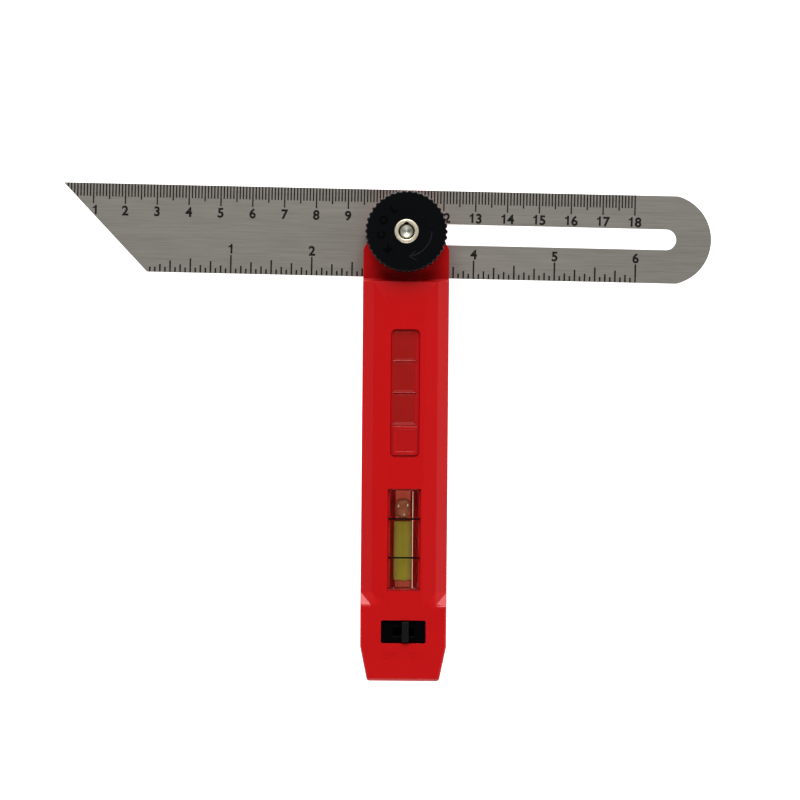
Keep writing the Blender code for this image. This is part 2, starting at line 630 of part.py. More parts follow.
def vial(frame):
    """The moulded vial with its bore, plug, liquid and bubble, and the two index rings round it."""
    low = VIAL_LOW_Y + 0.4 * MM
    high = VIAL_TOP_Y - 0.4 * MM
    bore_end = high - 2.2 * MM
    body = piece("vial_body", stand_along_y(arch_outline(VIAL_HALF, VIAL_FLOOR_Z), low, high),
                 CLEAR, 0.05, 0.0, frame)
    bore = disc(0.0, 0.0, VIAL_BORE_RADIUS, low - PAST, bore_end)
    cut(body, along_y(bore, 0.0, VIAL_AXIS_Z))
    inside = VIAL_BORE_RADIUS - GAP
    plug_top = low + 2.4 * MM
    piece("vial_plug", along_y(disc(0.0, 0.0, inside, low + 0.2 * MM, plug_top), 0.0, VIAL_AXIS_Z),
          CLEAR, 0.1, 0.0, frame)
    liquid = disc(0.0, 0.0, inside, plug_top + GAP, bore_end - GAP)
    fluid = piece("vial_liquid", along_y(liquid, 0.0, VIAL_AXIS_Z), LIQUID, 0.05, 0.0, frame)
    bubble_low = RING_Y[0] - 1.0 * MM
    hollow = turned([(inside - 0.7 * MM, bubble_low), (inside, bubble_low + 1.2 * MM), (inside, high)], 24)
    cut(fluid, along_y(hollow, 0.0, VIAL_AXIS_Z + 0.6 * MM))
    for name, y in zip(("vial_ring_upper", "vial_ring_lower"), RING_Y):
        ring = piece(name, stand_along_y(arch_outline(RING_OUTER, VIAL_FLOOR_Z + 0.3 * MM),
                                         y - RING_WIDTH / 2, y + RING_WIDTH / 2), BLACK, 0.5, 0.0, frame)
        cut(ring, stand_along_y(arch_outline(RING_INNER, VIAL_FLOOR_Z - PAST),
                                y - RING_WIDTH, y + RING_WIDTH))


# ---------------------------------------------------------------- battery

def cell_y(number):
    return CELL_FIRST_Y - CELL_PITCH * number


def strip(name, first, last, bottom, parent):
    """A sprung contact strip that covers the cells from first to last."""
    half = 3.2 * MM
    reach = 2.6 * MM
    shape = box(-half, half, cell_y(last) - reach, cell_y(first) + reach, bottom, bottom + CONTACT_THICK)
    return piece(name, shape, NICKEL, 0.3, 1.0, parent)


def battery(frame, lid):
    low_strip = BATTERY_FLOOR_Z + GAP
    cell_bottom = low_strip + CONTACT_THICK + GAP
    high_strip = cell_bottom + CELL_THICK + GAP
    for number in range(3):
        crimp = CELL_RADIUS - 0.5 * MM
        rings = [(crimp, cell_bottom), (CELL_RADIUS, cell_bottom + 0.3 * MM),
                 (CELL_RADIUS, cell_bottom + CELL_THICK - 0.8 * MM),
                 (crimp, cell_bottom + CELL_THICK - 0.3 * MM), (crimp, cell_bottom + CELL_THICK)]
        can = turned(rings, ROUND, 0.0, cell_y(number))
        piece(f"button_cell_{number + 1}", can, ZINC, 0.25, 1.0, frame)
    strip("contact_first", 0, 0, low_strip, frame)
    strip("link_lower", 1, 2, low_strip, frame)
    strip("link_upper", 0, 1, high_strip, lid)
    strip("contact_last", 2, 2, high_strip, frame)
    battery_cover(lid, high_strip + CONTACT_THICK + GAP)


def battery_cover(lid, bottom):
    """The snap-in cover: three ribbed panels over the cells and a finger latch below them."""
    middle = (BATTERY_TOP_Y + BATTERY_LOW_Y) / 2
    half_y = (BATTERY_TOP_Y - BATTERY_LOW_Y) / 2 - GAP
    top = bottom + COVER_THICK
    outline = rounded_outline(BATTERY_HALF - GAP, half_y, 1.2 * MM, middle)
    cover = piece("battery_cover", prism(outline, bottom, top), DARK_RED, 0.35, 0.0, lid)
    latch_top_y = cell_y(2) - 0.5 * CELL_PITCH - 0.2 * MM
    latch_low_y = middle - half_y + 0.6 * MM
    latch_mid = (latch_top_y + latch_low_y) / 2
    latch_half_y = (latch_top_y - latch_low_y) / 2
    latch = rounded_outline(LATCH_HALF, latch_half_y, 1.0 * MM, latch_mid)
    join(cover, prism(latch, top - 0.4 * MM, top + 0.3 * MM))
    for number in range(2):
        line_y = cell_y(number) - 0.5 * CELL_PITCH
        cut(cover, box(-COVER_GROOVE_HALF, COVER_GROOVE_HALF, line_y - 0.2 * MM, line_y + 0.2 * MM,
                       top - 0.3 * MM, top + PAST))


# ---------------------------------------------------------------- lamp and switch

def lamp(frame):
    """The lamp that lights the vial from its lower end, with its two legs and its resistor."""
    flange_low = LED_BASE_Y - LED_FLANGE_THICK
    rings = [(LED_FLANGE_RADIUS, flange_low), (LED_FLANGE_RADIUS, LED_BASE_Y), (LED_RADIUS, LED_BASE_Y)]
    for step in range(6):
        angle = math.radians(90.0 * step / 6)
        rings.append((LED_RADIUS * math.cos(angle), LED_NOSE_Y - LED_RADIUS + LED_RADIUS * math.sin(angle)))
    rings.append((0.2 * MM, LED_NOSE_Y))
    piece("vial_lamp", along_y(turned(rings, 24), 0.0, LED_AXIS_Z), CLEAR, 0.1, 0.0, frame)
    leg_start = flange_low - GAP
    bend = leg_start - 0.8 * MM
    for name, x in (("lamp_leg_left", -LEG_SPREAD), ("lamp_leg_right", LEG_SPREAD)):
        route = [(x, leg_start, LED_AXIS_Z), (x, bend, LED_AXIS_Z), (x, bend, BOARD_TOP + GAP)]
        wire(name, route, LEG_RADIUS, ZINC, 1.0)
    end_round = 0.3 * MM
    waist = RESISTOR_RADIUS - 0.2 * MM
    rings = [(waist, RESISTOR_LOW_Y), (RESISTOR_RADIUS, RESISTOR_LOW_Y + end_round),
             (RESISTOR_RADIUS, RESISTOR_TOP_Y - end_round), (waist, RESISTOR_TOP_Y)]
    height = BOARD_TOP + GAP + RESISTOR_RADIUS
    piece("lamp_resistor", along_y(turned(rings, 20), RESISTOR_X, height), BUFF, 0.5, 0.0, frame)


def board(frame):
    """The circuit board and the switch's three terminals, which stand in its holes."""
    sheet = box(-BOARD_HALF, BOARD_HALF, BOARD_LOW_Y, BOARD_TOP_Y, BOARD_BOTTOM, BOARD_TOP)
    base = piece("circuit_board", sheet, BOARD_GREEN, 0.5, 0.0, frame)
    for number in range(3):
        x = (number - 1) * TERMINAL_PITCH
        cut(base, disc(x, SWITCH_Y, TERMINAL_RADIUS + GAP, BOARD_BOTTOM - PAST, BOARD_TOP + PAST, 16))
        pin = disc(x, SWITCH_Y, TERMINAL_RADIUS, BOARD_BOTTOM - 0.2 * MM, BOARD_TOP, 12)
        piece(f"switch_terminal_{number + 1}", pin, ZINC, 0.3, 1.0, frame)


def switch(frame, slider_axis):
    """The slide switch: a flanged housing in its window, and a ridge whose stem runs in a slot."""
    flange_top = BAY_ROOF_Z - GAP
    housing = piece("switch_housing", box(-HOUSING_HALF_X, HOUSING_HALF_X, SWITCH_Y - HOUSING_HALF_Y,
                                          SWITCH_Y + HOUSING_HALF_Y, BOARD_TOP + GAP, flange_top),
                    BLACK, 0.5, 0.0, frame)
    neck_x = SWITCH_WINDOW_HALF_X - GAP
    neck_y = SWITCH_WINDOW_HALF_Y - GAP
    join(housing, box(-neck_x, neck_x, SWITCH_Y - neck_y, SWITCH_Y + neck_y, flange_top - PAST, HOUSING_TOP))
    slot_low_x = SWITCH_REST_X - STEM_HALF_X - SWITCH_REACH_LEFT - GAP
    slot_high_x = SWITCH_REST_X + STEM_HALF_X + SWITCH_REACH_RIGHT + GAP
    slot_y = STEM_HALF_Y + GAP
    cut(housing, box(slot_low_x, slot_high_x, SWITCH_Y - slot_y, SWITCH_Y + slot_y,
                     STEM_BOTTOM - GAP, HOUSING_TOP + PAST))
    # The slider's own heights are counted from its axis
    axis_z = slider_axis.location.z
    ridge_bottom = HOUSING_TOP + GAP - axis_z
    ridge = box(-RIDGE_HALF_X, RIDGE_HALF_X, -RIDGE_HALF_Y, RIDGE_HALF_Y, ridge_bottom, RIDGE_TOP - axis_z)
    slider = piece("switch_slider", ridge, BLACK, 0.45, 0.0, slider_axis)
    join(slider, box(-STEM_HALF_X, STEM_HALF_X, -STEM_HALF_Y, STEM_HALF_Y,
                     STEM_BOTTOM - axis_z, ridge_bottom + 0.3 * MM))


def leads():
    """Two insulated leads from the battery contacts to the board."""
    for name, colour, x, start_y, side_x in (
            ("lead_negative", BLACK, NEGATIVE_X, NEGATIVE_START_Y, -LEAD_SIDE_X),
            ("lead_positive", RED, POSITIVE_X, POSITIVE_START_Y, LEAD_SIDE_X)):
        route = [(x, start_y), (x, LEAD_TURN_Y), (side_x, LEAD_BEND_Y), (side_x, LEAD_END_Y)]
        wire(name, [(place_x, place_y, LEAD_Z) for place_x, place_y in route], LEAD_RADIUS, colour)


def main():
    clear_scene()
    frame = empty("handle_frame")
    pivot = empty("blade_pivot", turn=REST_TILT)
    knob_axis = empty("knob_axis")
    lid = empty("battery_lid")
    slider_axis = empty("switch_axis", (SWITCH_REST_X, SWITCH_Y, FACE_TOP))
    front_body(frame)
    back_plate(frame)
    inner_cover(frame)
    handle_screws(frame)
    pivot_bolt(frame)
    friction_washers(frame)
    slot_bush(pivot)
    blade(pivot)
    washer("knob_washer", KNOB_WASHER_RADIUS, INSERT_BORE_RADIUS, EAR_TOP + GAP,
           EAR_TOP + GAP + KNOB_WASHER_THICK, ZINC, 0.3, 1.0, knob_axis)
    lock_knob(knob_axis)
    knob_insert(knob_axis)
    vial(frame)
    battery(frame, lid)
    lamp(frame)
    board(frame)
    switch(frame, slider_axis)
    leads()


main()
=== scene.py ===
"""Looks of a sliding bevel gauge: brushed steel rule, moulded red handle, lock knob, vial and lamp switch."""

import json
import math

import bmesh
import bpy
from mathutils import Matrix, Vector


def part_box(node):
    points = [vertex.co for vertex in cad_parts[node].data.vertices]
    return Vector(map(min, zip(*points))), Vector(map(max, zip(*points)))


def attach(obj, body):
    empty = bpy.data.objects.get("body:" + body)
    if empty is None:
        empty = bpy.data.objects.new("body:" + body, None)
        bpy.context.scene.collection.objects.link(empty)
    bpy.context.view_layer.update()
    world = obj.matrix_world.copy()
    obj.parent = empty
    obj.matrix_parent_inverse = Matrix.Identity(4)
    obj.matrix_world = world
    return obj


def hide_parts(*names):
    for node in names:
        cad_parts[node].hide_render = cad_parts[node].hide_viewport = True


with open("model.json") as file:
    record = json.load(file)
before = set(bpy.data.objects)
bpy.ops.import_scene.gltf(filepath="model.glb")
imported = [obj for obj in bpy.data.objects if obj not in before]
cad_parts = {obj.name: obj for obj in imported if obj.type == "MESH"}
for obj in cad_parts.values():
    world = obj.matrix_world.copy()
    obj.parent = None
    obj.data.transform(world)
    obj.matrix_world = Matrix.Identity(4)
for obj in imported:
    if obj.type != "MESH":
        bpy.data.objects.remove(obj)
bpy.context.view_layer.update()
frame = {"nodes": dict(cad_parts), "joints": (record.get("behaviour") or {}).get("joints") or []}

MM = 0.001
JOINTS = {joint["name"]: joint for joint in frame["joints"]}
SLIDE_AXIS = JOINTS["blade_slide"]["axis"]
RULE_TILT = math.atan2(-SLIDE_AXIS[1], -SLIDE_AXIS[0])   # the rule's turn from X at rest

RULE_LOW, RULE_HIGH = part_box("blade")
KNOB_LOW, KNOB_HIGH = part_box("lock_knob")
INSERT_LOW, INSERT_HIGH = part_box("knob_insert")
VIAL_LOW, VIAL_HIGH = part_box("vial_body")
FLUID_LOW, FLUID_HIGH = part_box("vial_liquid")
DOOR_LOW, DOOR_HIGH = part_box("battery_cover")
THUMB_LOW, THUMB_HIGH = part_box("switch_slider")
BOLT_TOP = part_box("pivot_bolt")[1].z
FACE_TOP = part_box("handle_front_body")[1].z
CASE_BOTTOM_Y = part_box("switch_housing")[0].y

# The marks on the rule, measured along it from the pivot and in from its edges
INCH = 25.4 * MM
MILLIMETRE_ZERO = -108.45 * MM
INCH_ZERO = -80.33 * MM
MILLIMETRE_MARKS = 180
INCH_MARKS = 96                    # sixteenths
MILLIMETRE_MARK_WIDTH = 0.42 * MM
INCH_MARK_WIDTH = 0.5 * MM
MARK_PROUD = 0.02 * MM
MARK_MARGIN = 0.05 * MM            # a mark starts this far in from the edge
DIGIT_HEIGHT = 3.0 * MM
DIGIT_WEIGHT = 0.13 * MM           # added thickness of a figure's strokes
DIGIT_STEP = 2.15 * MM
MILLIMETRE_DIGITS_IN = 8.4 * MM
INCH_DIGITS_IN = 7.8 * MM
FIRST_DIGIT_ASIDE = 0.65 * MM      # keeps the first figure clear of the pointed end
RING_SCALE = 0.314                 # a wave pattern's scale times the distance of its rings
CAPITAL_RATIO = 0.73               # height of a capital or figure in the built-in type, to its size

# The studio
TENT_LEFT = "#B4B4B6"
TENT_RIGHT = "#FFFFFF"
TENT_NEAR = "#707070"
TENT_OPENING = "#202020"
TENT_STRENGTH = 0.58
VIEW_HEIGHT = 0.9
VIEW_WIDTH = 251.3 * MM
VIEW_ROLL = math.radians(0.48)

# The vial
WINDOW_HALF = 5.15 * MM            # half width of the vial's window in the handle
BLOCK_TOP = VIAL_HIGH.z - 0.25 * MM
SPIRIT_X = (FLUID_LOW.x + FLUID_HIGH.x) / 2 - 0.35 * MM
SPIRIT_Z = (FLUID_LOW.z + FLUID_HIGH.z) / 2
SPIRIT_RADIUS = (FLUID_HIGH.x - FLUID_LOW.x) / 2 + 0.2 * MM
SPIRIT_LOW_Y = VIAL_LOW.y + 2.6 * MM
UPPER_LINE_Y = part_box("vial_ring_upper")[0].y
BUBBLE_LOW_Y = UPPER_LINE_Y + 0.2 * MM
BUBBLE_HIGH_Y = VIAL_HIGH.y - 2.6 * MM

# The knob
KNOB_TEETH = 42
TOOTH_STEPS = 8
TOOTH_DEPTH = 0.55 * MM
TOOTH_REACH = 1.0 * MM             # how far in from the rim the teeth fade out
LETTER_PLACES = (("L", 121.0), ("O", 154.0), ("C", 189.0), ("K", 223.0))
LETTER_REACH = 8.0 * MM
ARROW_REACH = 7.8 * MM
ARROW_SWEEP = math.radians(84.0)


# ---------------------------------------------------------------- materials

def linear(code):
    """Linear RGBA of an sRGB hex colour."""
    parts = [int(code[place:place + 2], 16) / 255 for place in (1, 3, 5)]
    return [part / 12.92 if part <= 0.04045 else ((part + 0.055) / 1.055) ** 2.4 for part in parts] + [1.0]


def add(tree, kind, settings=None, sources=None):
    """Add a node: settings are its own values or its sockets' values, and sources feed its sockets."""
    made = tree.nodes.new(kind)
    for key, value in (settings or {}).items():
        if isinstance(key, str) and hasattr(made, key):
            setattr(made, key, value)
        else:
            made.inputs[key].default_value = value
    for key, source in (sources or {}).items():
        tree.links.new(source, made.inputs[key])
    return made


def new_material(name, settings):
    """A material with its Principled shader set, its tree and its object-space point."""
    made = bpy.data.materials.new(name)
    made.use_nodes = True
    tree = made.node_tree
    shader = tree.nodes["Principled BSDF"]
    for key, value in settings.items():
        shader.inputs[key].default_value = value
    point = add(tree, "ShaderNodeTexCoord").outputs["Object"]
    return made, tree, shader, point


def feed(tree, shader, sources):
    """Link sources to a shader's inputs by name."""
    for key, source in sources.items():
        tree.links.new(source, shader.inputs[key])


def moulded_plastic(name, dark, light, roughness, spread, grain, relief, gloss_level=0.5):
    """Injection-moulded plastic.  The mould's surface gives a fine grain, and the flow of the melt
    gives broad, faint changes of tone and gloss."""
    made, tree, shader, point = new_material(name, {"IOR": 1.52, "Specular IOR Level": gloss_level})
    flow = add(tree, "ShaderNodeTexNoise", {"Scale": 1 / (14 * MM), "Detail": 3.0, "Roughness": 0.55},
               {"Vector": point})
    skin = add(tree, "ShaderNodeTexNoise", {"Scale": 1 / grain, "Detail": 4.0, "Roughness": 0.6},
               {"Vector": point})
    tone = add(tree, "ShaderNodeMix", {"data_type": "RGBA", 6: linear(dark), 7: linear(light)},
               {0: flow.outputs["Fac"]})
    gloss = add(tree, "ShaderNodeMapRange", {"To Min": roughness - spread, "To Max": roughness + spread},
                {"Value": skin.outputs["Fac"]})
    bump = add(tree, "ShaderNodeBump", {"Strength": 0.35, "Distance": relief},
               {"Height": skin.outputs["Fac"]})
    feed(tree, shader, {"Base Color": tone.outputs[2], "Roughness": gloss.outputs["Result"],
                        "Normal": bump.outputs["Normal"]})
    return made


def brushed_stainless():
    """Stainless strip, belt-brushed along its length.  The grit leaves streaks about 0.05 mm apart, too fine
    to show, so they are drawn 0.45 mm apart, over broader bands of tone from the belt."""
    made, tree, shader, point = new_material("brushed_stainless_strip", {"Metallic": 1.0})
    along = add(tree, "ShaderNodeMapping", {"Rotation": (0.0, 0.0, -RULE_TILT)}, {"Vector": point})
    fine = add(tree, "ShaderNodeMapping", {"Scale": (1 / (14 * MM), 1 / (0.45 * MM), 1 / (0.45 * MM))},
               {"Vector": along.outputs["Vector"]})
    broad = add(tree, "ShaderNodeMapping", {"Scale": (1 / (90 * MM), 1 / (4.5 * MM), 1 / (4.5 * MM))},
                {"Vector": along.outputs["Vector"]})
    streaks = add(tree, "ShaderNodeTexNoise", {"Scale": 1.0, "Detail": 5.0, "Roughness": 0.7},
                  {"Vector": fine.outputs["Vector"]})
    bands = add(tree, "ShaderNodeTexNoise", {"Scale": 1.0, "Detail": 2.0, "Roughness": 0.5},
                {"Vector": broad.outputs["Vector"]})
    both = add(tree, "ShaderNodeMix", {0: 0.3}, {2: streaks.outputs["Fac"], 3: bands.outputs["Fac"]})
    spread = add(tree, "ShaderNodeMapRange", {"From Min": 0.3, "From Max": 0.7}, {"Value": both.outputs[0]})
    tone = add(tree, "ShaderNodeMix", {"data_type": "RGBA", 6: linear("#8C8881"), 7: linear("#A49F98")},
               {0: spread.outputs["Result"]})
    gloss = add(tree, "ShaderNodeMapRange", {"To Min": 0.5, "To Max": 0.6}, {"Value": streaks.outputs["Fac"]})
    bump = add(tree, "ShaderNodeBump", {"Strength": 0.18, "Distance": 0.02 * MM},
               {"Height": streaks.outputs["Fac"]})
    feed(tree, shader, {"Base Color": tone.outputs[2], "Roughness": gloss.outputs["Result"],
                        "Normal": bump.outputs["Normal"]})
    return made


def etched_black():
    """Marks etched into the steel and filled with black oxide: matt, with slightly uneven filling."""
    made, tree, shader, point = new_material("etched_black_fill", {"IOR": 1.5, "Specular IOR Level": 0.12})
    speck = add(tree, "ShaderNodeTexNoise", {"Scale": 1 / (0.5 * MM), "Detail": 3.0}, {"Vector": point})
    tone = add(tree, "ShaderNodeMix", {"data_type": "RGBA", 6: linear("#0B0A09"), 7: linear("#1C1A18")},
               {0: speck.outputs["Fac"]})
    gloss = add(tree, "ShaderNodeMapRange", {"To Min": 0.5, "To Max": 0.7}, {"Value": speck.outputs["Fac"]})
    feed(tree, shader, {"Base Color": tone.outputs[2], "Roughness": gloss.outputs["Result"]})
    return made


def turned_metal(name, dark, light, rough_low, rough_high, pitch):
    """Lathe-turned and plated metal: fine rings round the pivot axis, softened by the plating."""
    made, tree, shader, point = new_material(name, {"Metallic": 1.0})
    rings = add(tree, "ShaderNodeTexWave", {"wave_type": "RINGS", "rings_direction": "Z",
                                            "Scale": RING_SCALE / pitch, "Distortion": 1.5, "Detail": 2.0},
                {"Vector": point})
    cloud = add(tree, "ShaderNodeTexNoise", {"Scale": 1 / (1.2 * MM), "Detail": 4.0}, {"Vector": point})
    tone = add(tree, "ShaderNodeMix", {"data_type": "RGBA", 6: linear(dark), 7: linear(light)},
               {0: cloud.outputs["Fac"]})
    gloss = add(tree, "ShaderNodeMapRange", {"To Min": rough_low, "To Max": rough_high},
                {"Value": cloud.outputs["Fac"]})
    bump = add(tree, "ShaderNodeBump", {"Strength": 0.12, "Distance": 0.02 * MM},
               {"Height": rings.outputs["Fac"]})
    feed(tree, shader, {"Base Color": tone.outputs[2], "Roughness": gloss.outputs["Result"],
                        "Normal": bump.outputs["Normal"]})
    return made


def clear_cast(name, tint, ior, waviness, opacity=1.0):
    """Clear cast or moulded plastic, polished: a faint tint and very slight waves in its surface."""
    made, tree, shader, point = new_material(name, {"Base Color": linear(tint), "Roughness": 0.04, "IOR": ior,
                                                    "Transmission Weight": 1.0, "Alpha": opacity})
    waves = add(tree, "ShaderNodeTexNoise", {"Scale": 1 / (3 * MM), "Detail": 1.0}, {"Vector": point})
    bump = add(tree, "ShaderNodeBump", {"Strength": waviness, "Distance": 0.05 * MM},
               {"Height": waves.outputs["Fac"]})
    feed(tree, shader, {"Normal": bump.outputs["Normal"]})
    return made


def bubble_skin():
    """The skin of the air bubble, seen through the clear block: its warm colour is painted light, standing in
    for the red around it, and it is cloudy.
    """
    made, tree, shader, point = new_material("bubble_skin", {"Roughness": 0.25, "IOR": 1.33,
                                                             "Transmission Weight": 0.2, "Alpha": 0.7})
    cloud = add(tree, "ShaderNodeTexNoise", {"Scale": 1 / (3 * MM), "Detail": 1.0}, {"Vector": point})
    spread = add(tree, "ShaderNodeMapRange", {"From Min": 0.35, "From Max": 0.65},
                 {"Value": cloud.outputs["Fac"]})
    # painted reflection: warm tones standing in for the red round the bubble
    tone = add(tree, "ShaderNodeMix", {"data_type": "RGBA", 6: linear("#9C5C40"), 7: linear("#B07858")},
               {0: spread.outputs["Result"]})
    feed(tree, shader, {"Base Color": tone.outputs[2]})
    return made


def dyed_spirit():
    """Spirit with a yellow-green dye, and painted light on it: a little emission is a painted glow, the middle
    of the column, where it is thickest, is painted darker than its sides as painted shade, and its lower end
    is painted lighter as painted lamp light."""
    made, tree, shader, point = new_material("vial_spirit_painted_light", {"Roughness": 0.12, "IOR": 1.36,
                                                                  "Transmission Weight": 0.25})
    parts = add(tree, "ShaderNodeSeparateXYZ", {}, {"Vector": point})
    off_axis = add(tree, "ShaderNodeMath", {"operation": "SUBTRACT", 1: SPIRIT_X}, {0: parts.outputs["X"]})
    aside = add(tree, "ShaderNodeMath", {"operation": "ABSOLUTE"}, {0: off_axis.outputs["Value"]})
    # painted shade: darker along the middle of the column, lighter towards its sides
    edge = add(tree, "ShaderNodeMapRange", {"From Min": 0.4 * MM, "From Max": 2.6 * MM},
               {"Value": aside.outputs["Value"]})
    # painted lamp light: lighter towards the lower end of the column
    depth = add(tree, "ShaderNodeMapRange", {"From Min": FLUID_LOW.y, "From Max": FLUID_HIGH.y - 5 * MM},
                {"Value": parts.outputs["Y"]})
    swirl = add(tree, "ShaderNodeTexNoise", {"Scale": 1 / (5 * MM), "Detail": 1.0}, {"Vector": point})
    mixed = add(tree, "ShaderNodeMix", {0: 0.25}, {2: depth.outputs["Result"], 3: swirl.outputs["Fac"]})
    middle = add(tree, "ShaderNodeMix", {"data_type": "RGBA", 6: linear("#868026"), 7: linear("#7E7226")},
                 {0: mixed.outputs[0]})
    rim = add(tree, "ShaderNodeMix", {"data_type": "RGBA", 6: linear("#94843C"), 7: linear("#8C7A38")},
              {0: mixed.outputs[0]})
    tone = add(tree, "ShaderNodeMix", {"data_type": "RGBA"},
               {0: edge.outputs["Result"], 6: middle.outputs[2], 7: rim.outputs[2]})
    # the emission is a painted glow: the spirit is no lamp
    feed(tree, shader, {"Base Color": tone.outputs[2], "Emission Color": tone.outputs[2]})
    shader.inputs["Emission Strength"].default_value = 0.2
    return made


def woven_board():
    """Glass-fibre circuit board under green solder mask, with the weave just showing."""
    made, tree, shader, point = new_material("green_circuit_board", {"Roughness": 0.4, "IOR": 1.5})
    weave = add(tree, "ShaderNodeTexChecker", {"Scale": 1 / (0.5 * MM), "Color1": linear("#0F5A26"),
                                               "Color2": linear("#14692E")}, {"Vector": point})
    feed(tree, shader, {"Base Color": weave.outputs["Color"]})
    return made


def edge_lit_acrylic():
    """Frosted pink acrylic behind the ends of the vial, with a low painted glow: an emission stands in for
    light, since the piece is no lamp.
    """
    made = moulded_plastic("edge_lit_acrylic", "#C8705A", "#D88068", 0.5, 0.08, 0.8 * MM, 0.01 * MM)
    shader = made.node_tree.nodes["Principled BSDF"]
    # painted glow: emission on a piece that is no lamp
    shader.inputs["Emission Color"].default_value = linear("#A03C2C")
    shader.inputs["Emission Strength"].default_value = 0.55
    return made


def pressed_fibre():
    """Pressed vulcanised fibre: black, matt and mottled."""
    return moulded_plastic("pressed_black_fibre", "#141414", "#232220", 0.7, 0.1, 0.3 * MM, 0.03 * MM)


# ---------------------------------------------------------------- shapes

def settle_normals(mesh):
    """Let each large face keep its own direction, so that only the rounded edges shade round."""
    totals = [Vector() for _ in mesh.vertices]
    for face in mesh.polygons:
        for corner in face.vertices:
            totals[corner] += face.normal * face.area
    mesh.normals_split_custom_set_from_vertices([total.normalized() for total in totals])


def finish_piece(name, shape, finish, body, replaced=(), rounded=True):
    """Turn a bmesh into a finished piece that rides on a body."""
    mesh = bpy.data.meshes.new(name)
    shape.to_mesh(mesh)
    shape.free()
    mesh.materials.append(finish)
    mesh.shade_smooth()
    if rounded:
        settle_normals(mesh)
    else:
        mesh.set_sharp_from_angle(angle=math.radians(30.0))
    made = bpy.data.objects.new(name, mesh)
    bpy.context.scene.collection.objects.link(made)
    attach(made, body)
    if replaced:
        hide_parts(*replaced)
    return made


def cad_copy(node):
    """A merged copy of a CAD node's mesh, its flat faces joined."""
    shape = bmesh.new()
    shape.from_mesh(frame["nodes"][node].data)
    bmesh.ops.remove_doubles(shape, verts=shape.verts, dist=0.001 * MM)
    bmesh.ops.dissolve_limit(shape, angle_limit=math.radians(1.0), verts=shape.verts, edges=shape.edges)
    return shape


def round_edges(shape, width, segments=2, least=30.0):
    """Round every edge that is sharper than an angle in degrees."""
    sharp = math.radians(least)
    chosen = [edge for edge in shape.edges if edge.is_manifold and edge.calc_face_angle() > sharp]
    bmesh.ops.bevel(shape, geom=chosen, offset=width, segments=segments, profile=0.5, affect="EDGES",
                    clamp_overlap=True, material=-1)


def softened(node, name, finish, body, width, segments=2, least=30.0):
    """Stand for a CAD node with the same shape, its edges rounded."""
    shape = cad_copy(node)
    round_edges(shape, width, segments, least)
    return finish_piece(name, shape, finish, body, (node,))


def spun(profile, steps, axis=(0, 0, 1), centre=(0, 0, 0), ring=True):
    """Spin a profile of points once round an axis: a loop of points makes a closed ring, and an open line
    that starts and ends on the axis makes a closed solid."""
    shape = bmesh.new()
    points = [shape.verts.new(point) for point in profile]
    if ring:
        pairs = [(points[step - 1], points[step]) for step in range(len(points))]
    else:
        pairs = zip(points, points[1:])
    edges = [shape.edges.new(pair) for pair in pairs]
    bmesh.ops.spin(shape, geom=points + edges, cent=centre, axis=axis, angle=math.tau, steps=steps,
                   use_merge=True)
    bmesh.ops.remove_doubles(shape, verts=shape.verts, dist=0.0005 * MM)
    bmesh.ops.recalc_face_normals(shape, faces=shape.faces)
    return shape


def round_bar(corners, steps, axis_x, axis_z, name, finish, replaced=()):
    """Finish a solid turned about a line along the handle, from its (radius, y) corners."""
    profile = [(axis_x + radius, y, axis_z) for radius, y in corners]
    shape = spun(profile, steps, (0, 1, 0), (axis_x, 0.0, axis_z), False)
    return finish_piece(name, shape, finish, "handle", replaced)


def slab(outline, bottom, top):
    """A closed plate: a flat outline of (x, y) points raised from bottom to top."""
    shape = bmesh.new()
    face = shape.faces.new([shape.verts.new((x, y, bottom)) for x, y in outline])
    raised = bmesh.ops.extrude_face_region(shape, geom=[face])
    moved = [item for item in raised["geom"] if isinstance(item, bmesh.types.BMVert)]
    bmesh.ops.translate(shape, verts=moved, vec=(0.0, 0.0, top - bottom))
    bmesh.ops.recalc_face_normals(shape, faces=shape.faces)
    return shape


def block(low, high):
    """A closed box between two corners."""
    shape = bmesh.new()
    bmesh.ops.create_cube(shape, size=1.0)
    bmesh.ops.scale(shape, verts=shape.verts, vec=Vector(high) - Vector(low))
    bmesh.ops.translate(shape, verts=shape.verts, vec=(Vector(high) + Vector(low)) / 2)
    return shape


def take_in(shape, other):
    """Add another bmesh's solids to this one."""
    holder = bpy.data.meshes.new("holder")
    other.to_mesh(holder)
    other.free()
    shape.from_mesh(holder)
    bpy.data.meshes.remove(holder)


def lettering(words, height, depth, weight=0.0):
    """Raised type as a closed mesh, centred on its own middle and face up, its strokes thickened by weight."""
    words_curve = bpy.data.curves.new("type", "FONT")
    words_curve.body = words
    words_curve.size = height / CAPITAL_RATIO
    words_curve.extrude = depth / 2
    words_curve.offset = weight
    words_curve.resolution_u = 6
    words_curve.align_x = "CENTER"
    holder = bpy.data.objects.new("type", words_curve)
    bpy.context.scene.collection.objects.link(holder)
    depsgraph = bpy.context.evaluated_depsgraph_get()
    mesh = bpy.data.meshes.new_from_object(holder.evaluated_get(depsgraph))
    bpy.data.objects.remove(holder, do_unlink=True)
    shape = bmesh.new()
    shape.from_mesh(mesh)
    bpy.data.meshes.remove(mesh)
    bmesh.ops.remove_doubles(shape, verts=shape.verts, dist=0.002 * MM)
    bmesh.ops.translate(shape, verts=shape.verts, vec=(0.0, -height / 2, 0.0))
    return shape


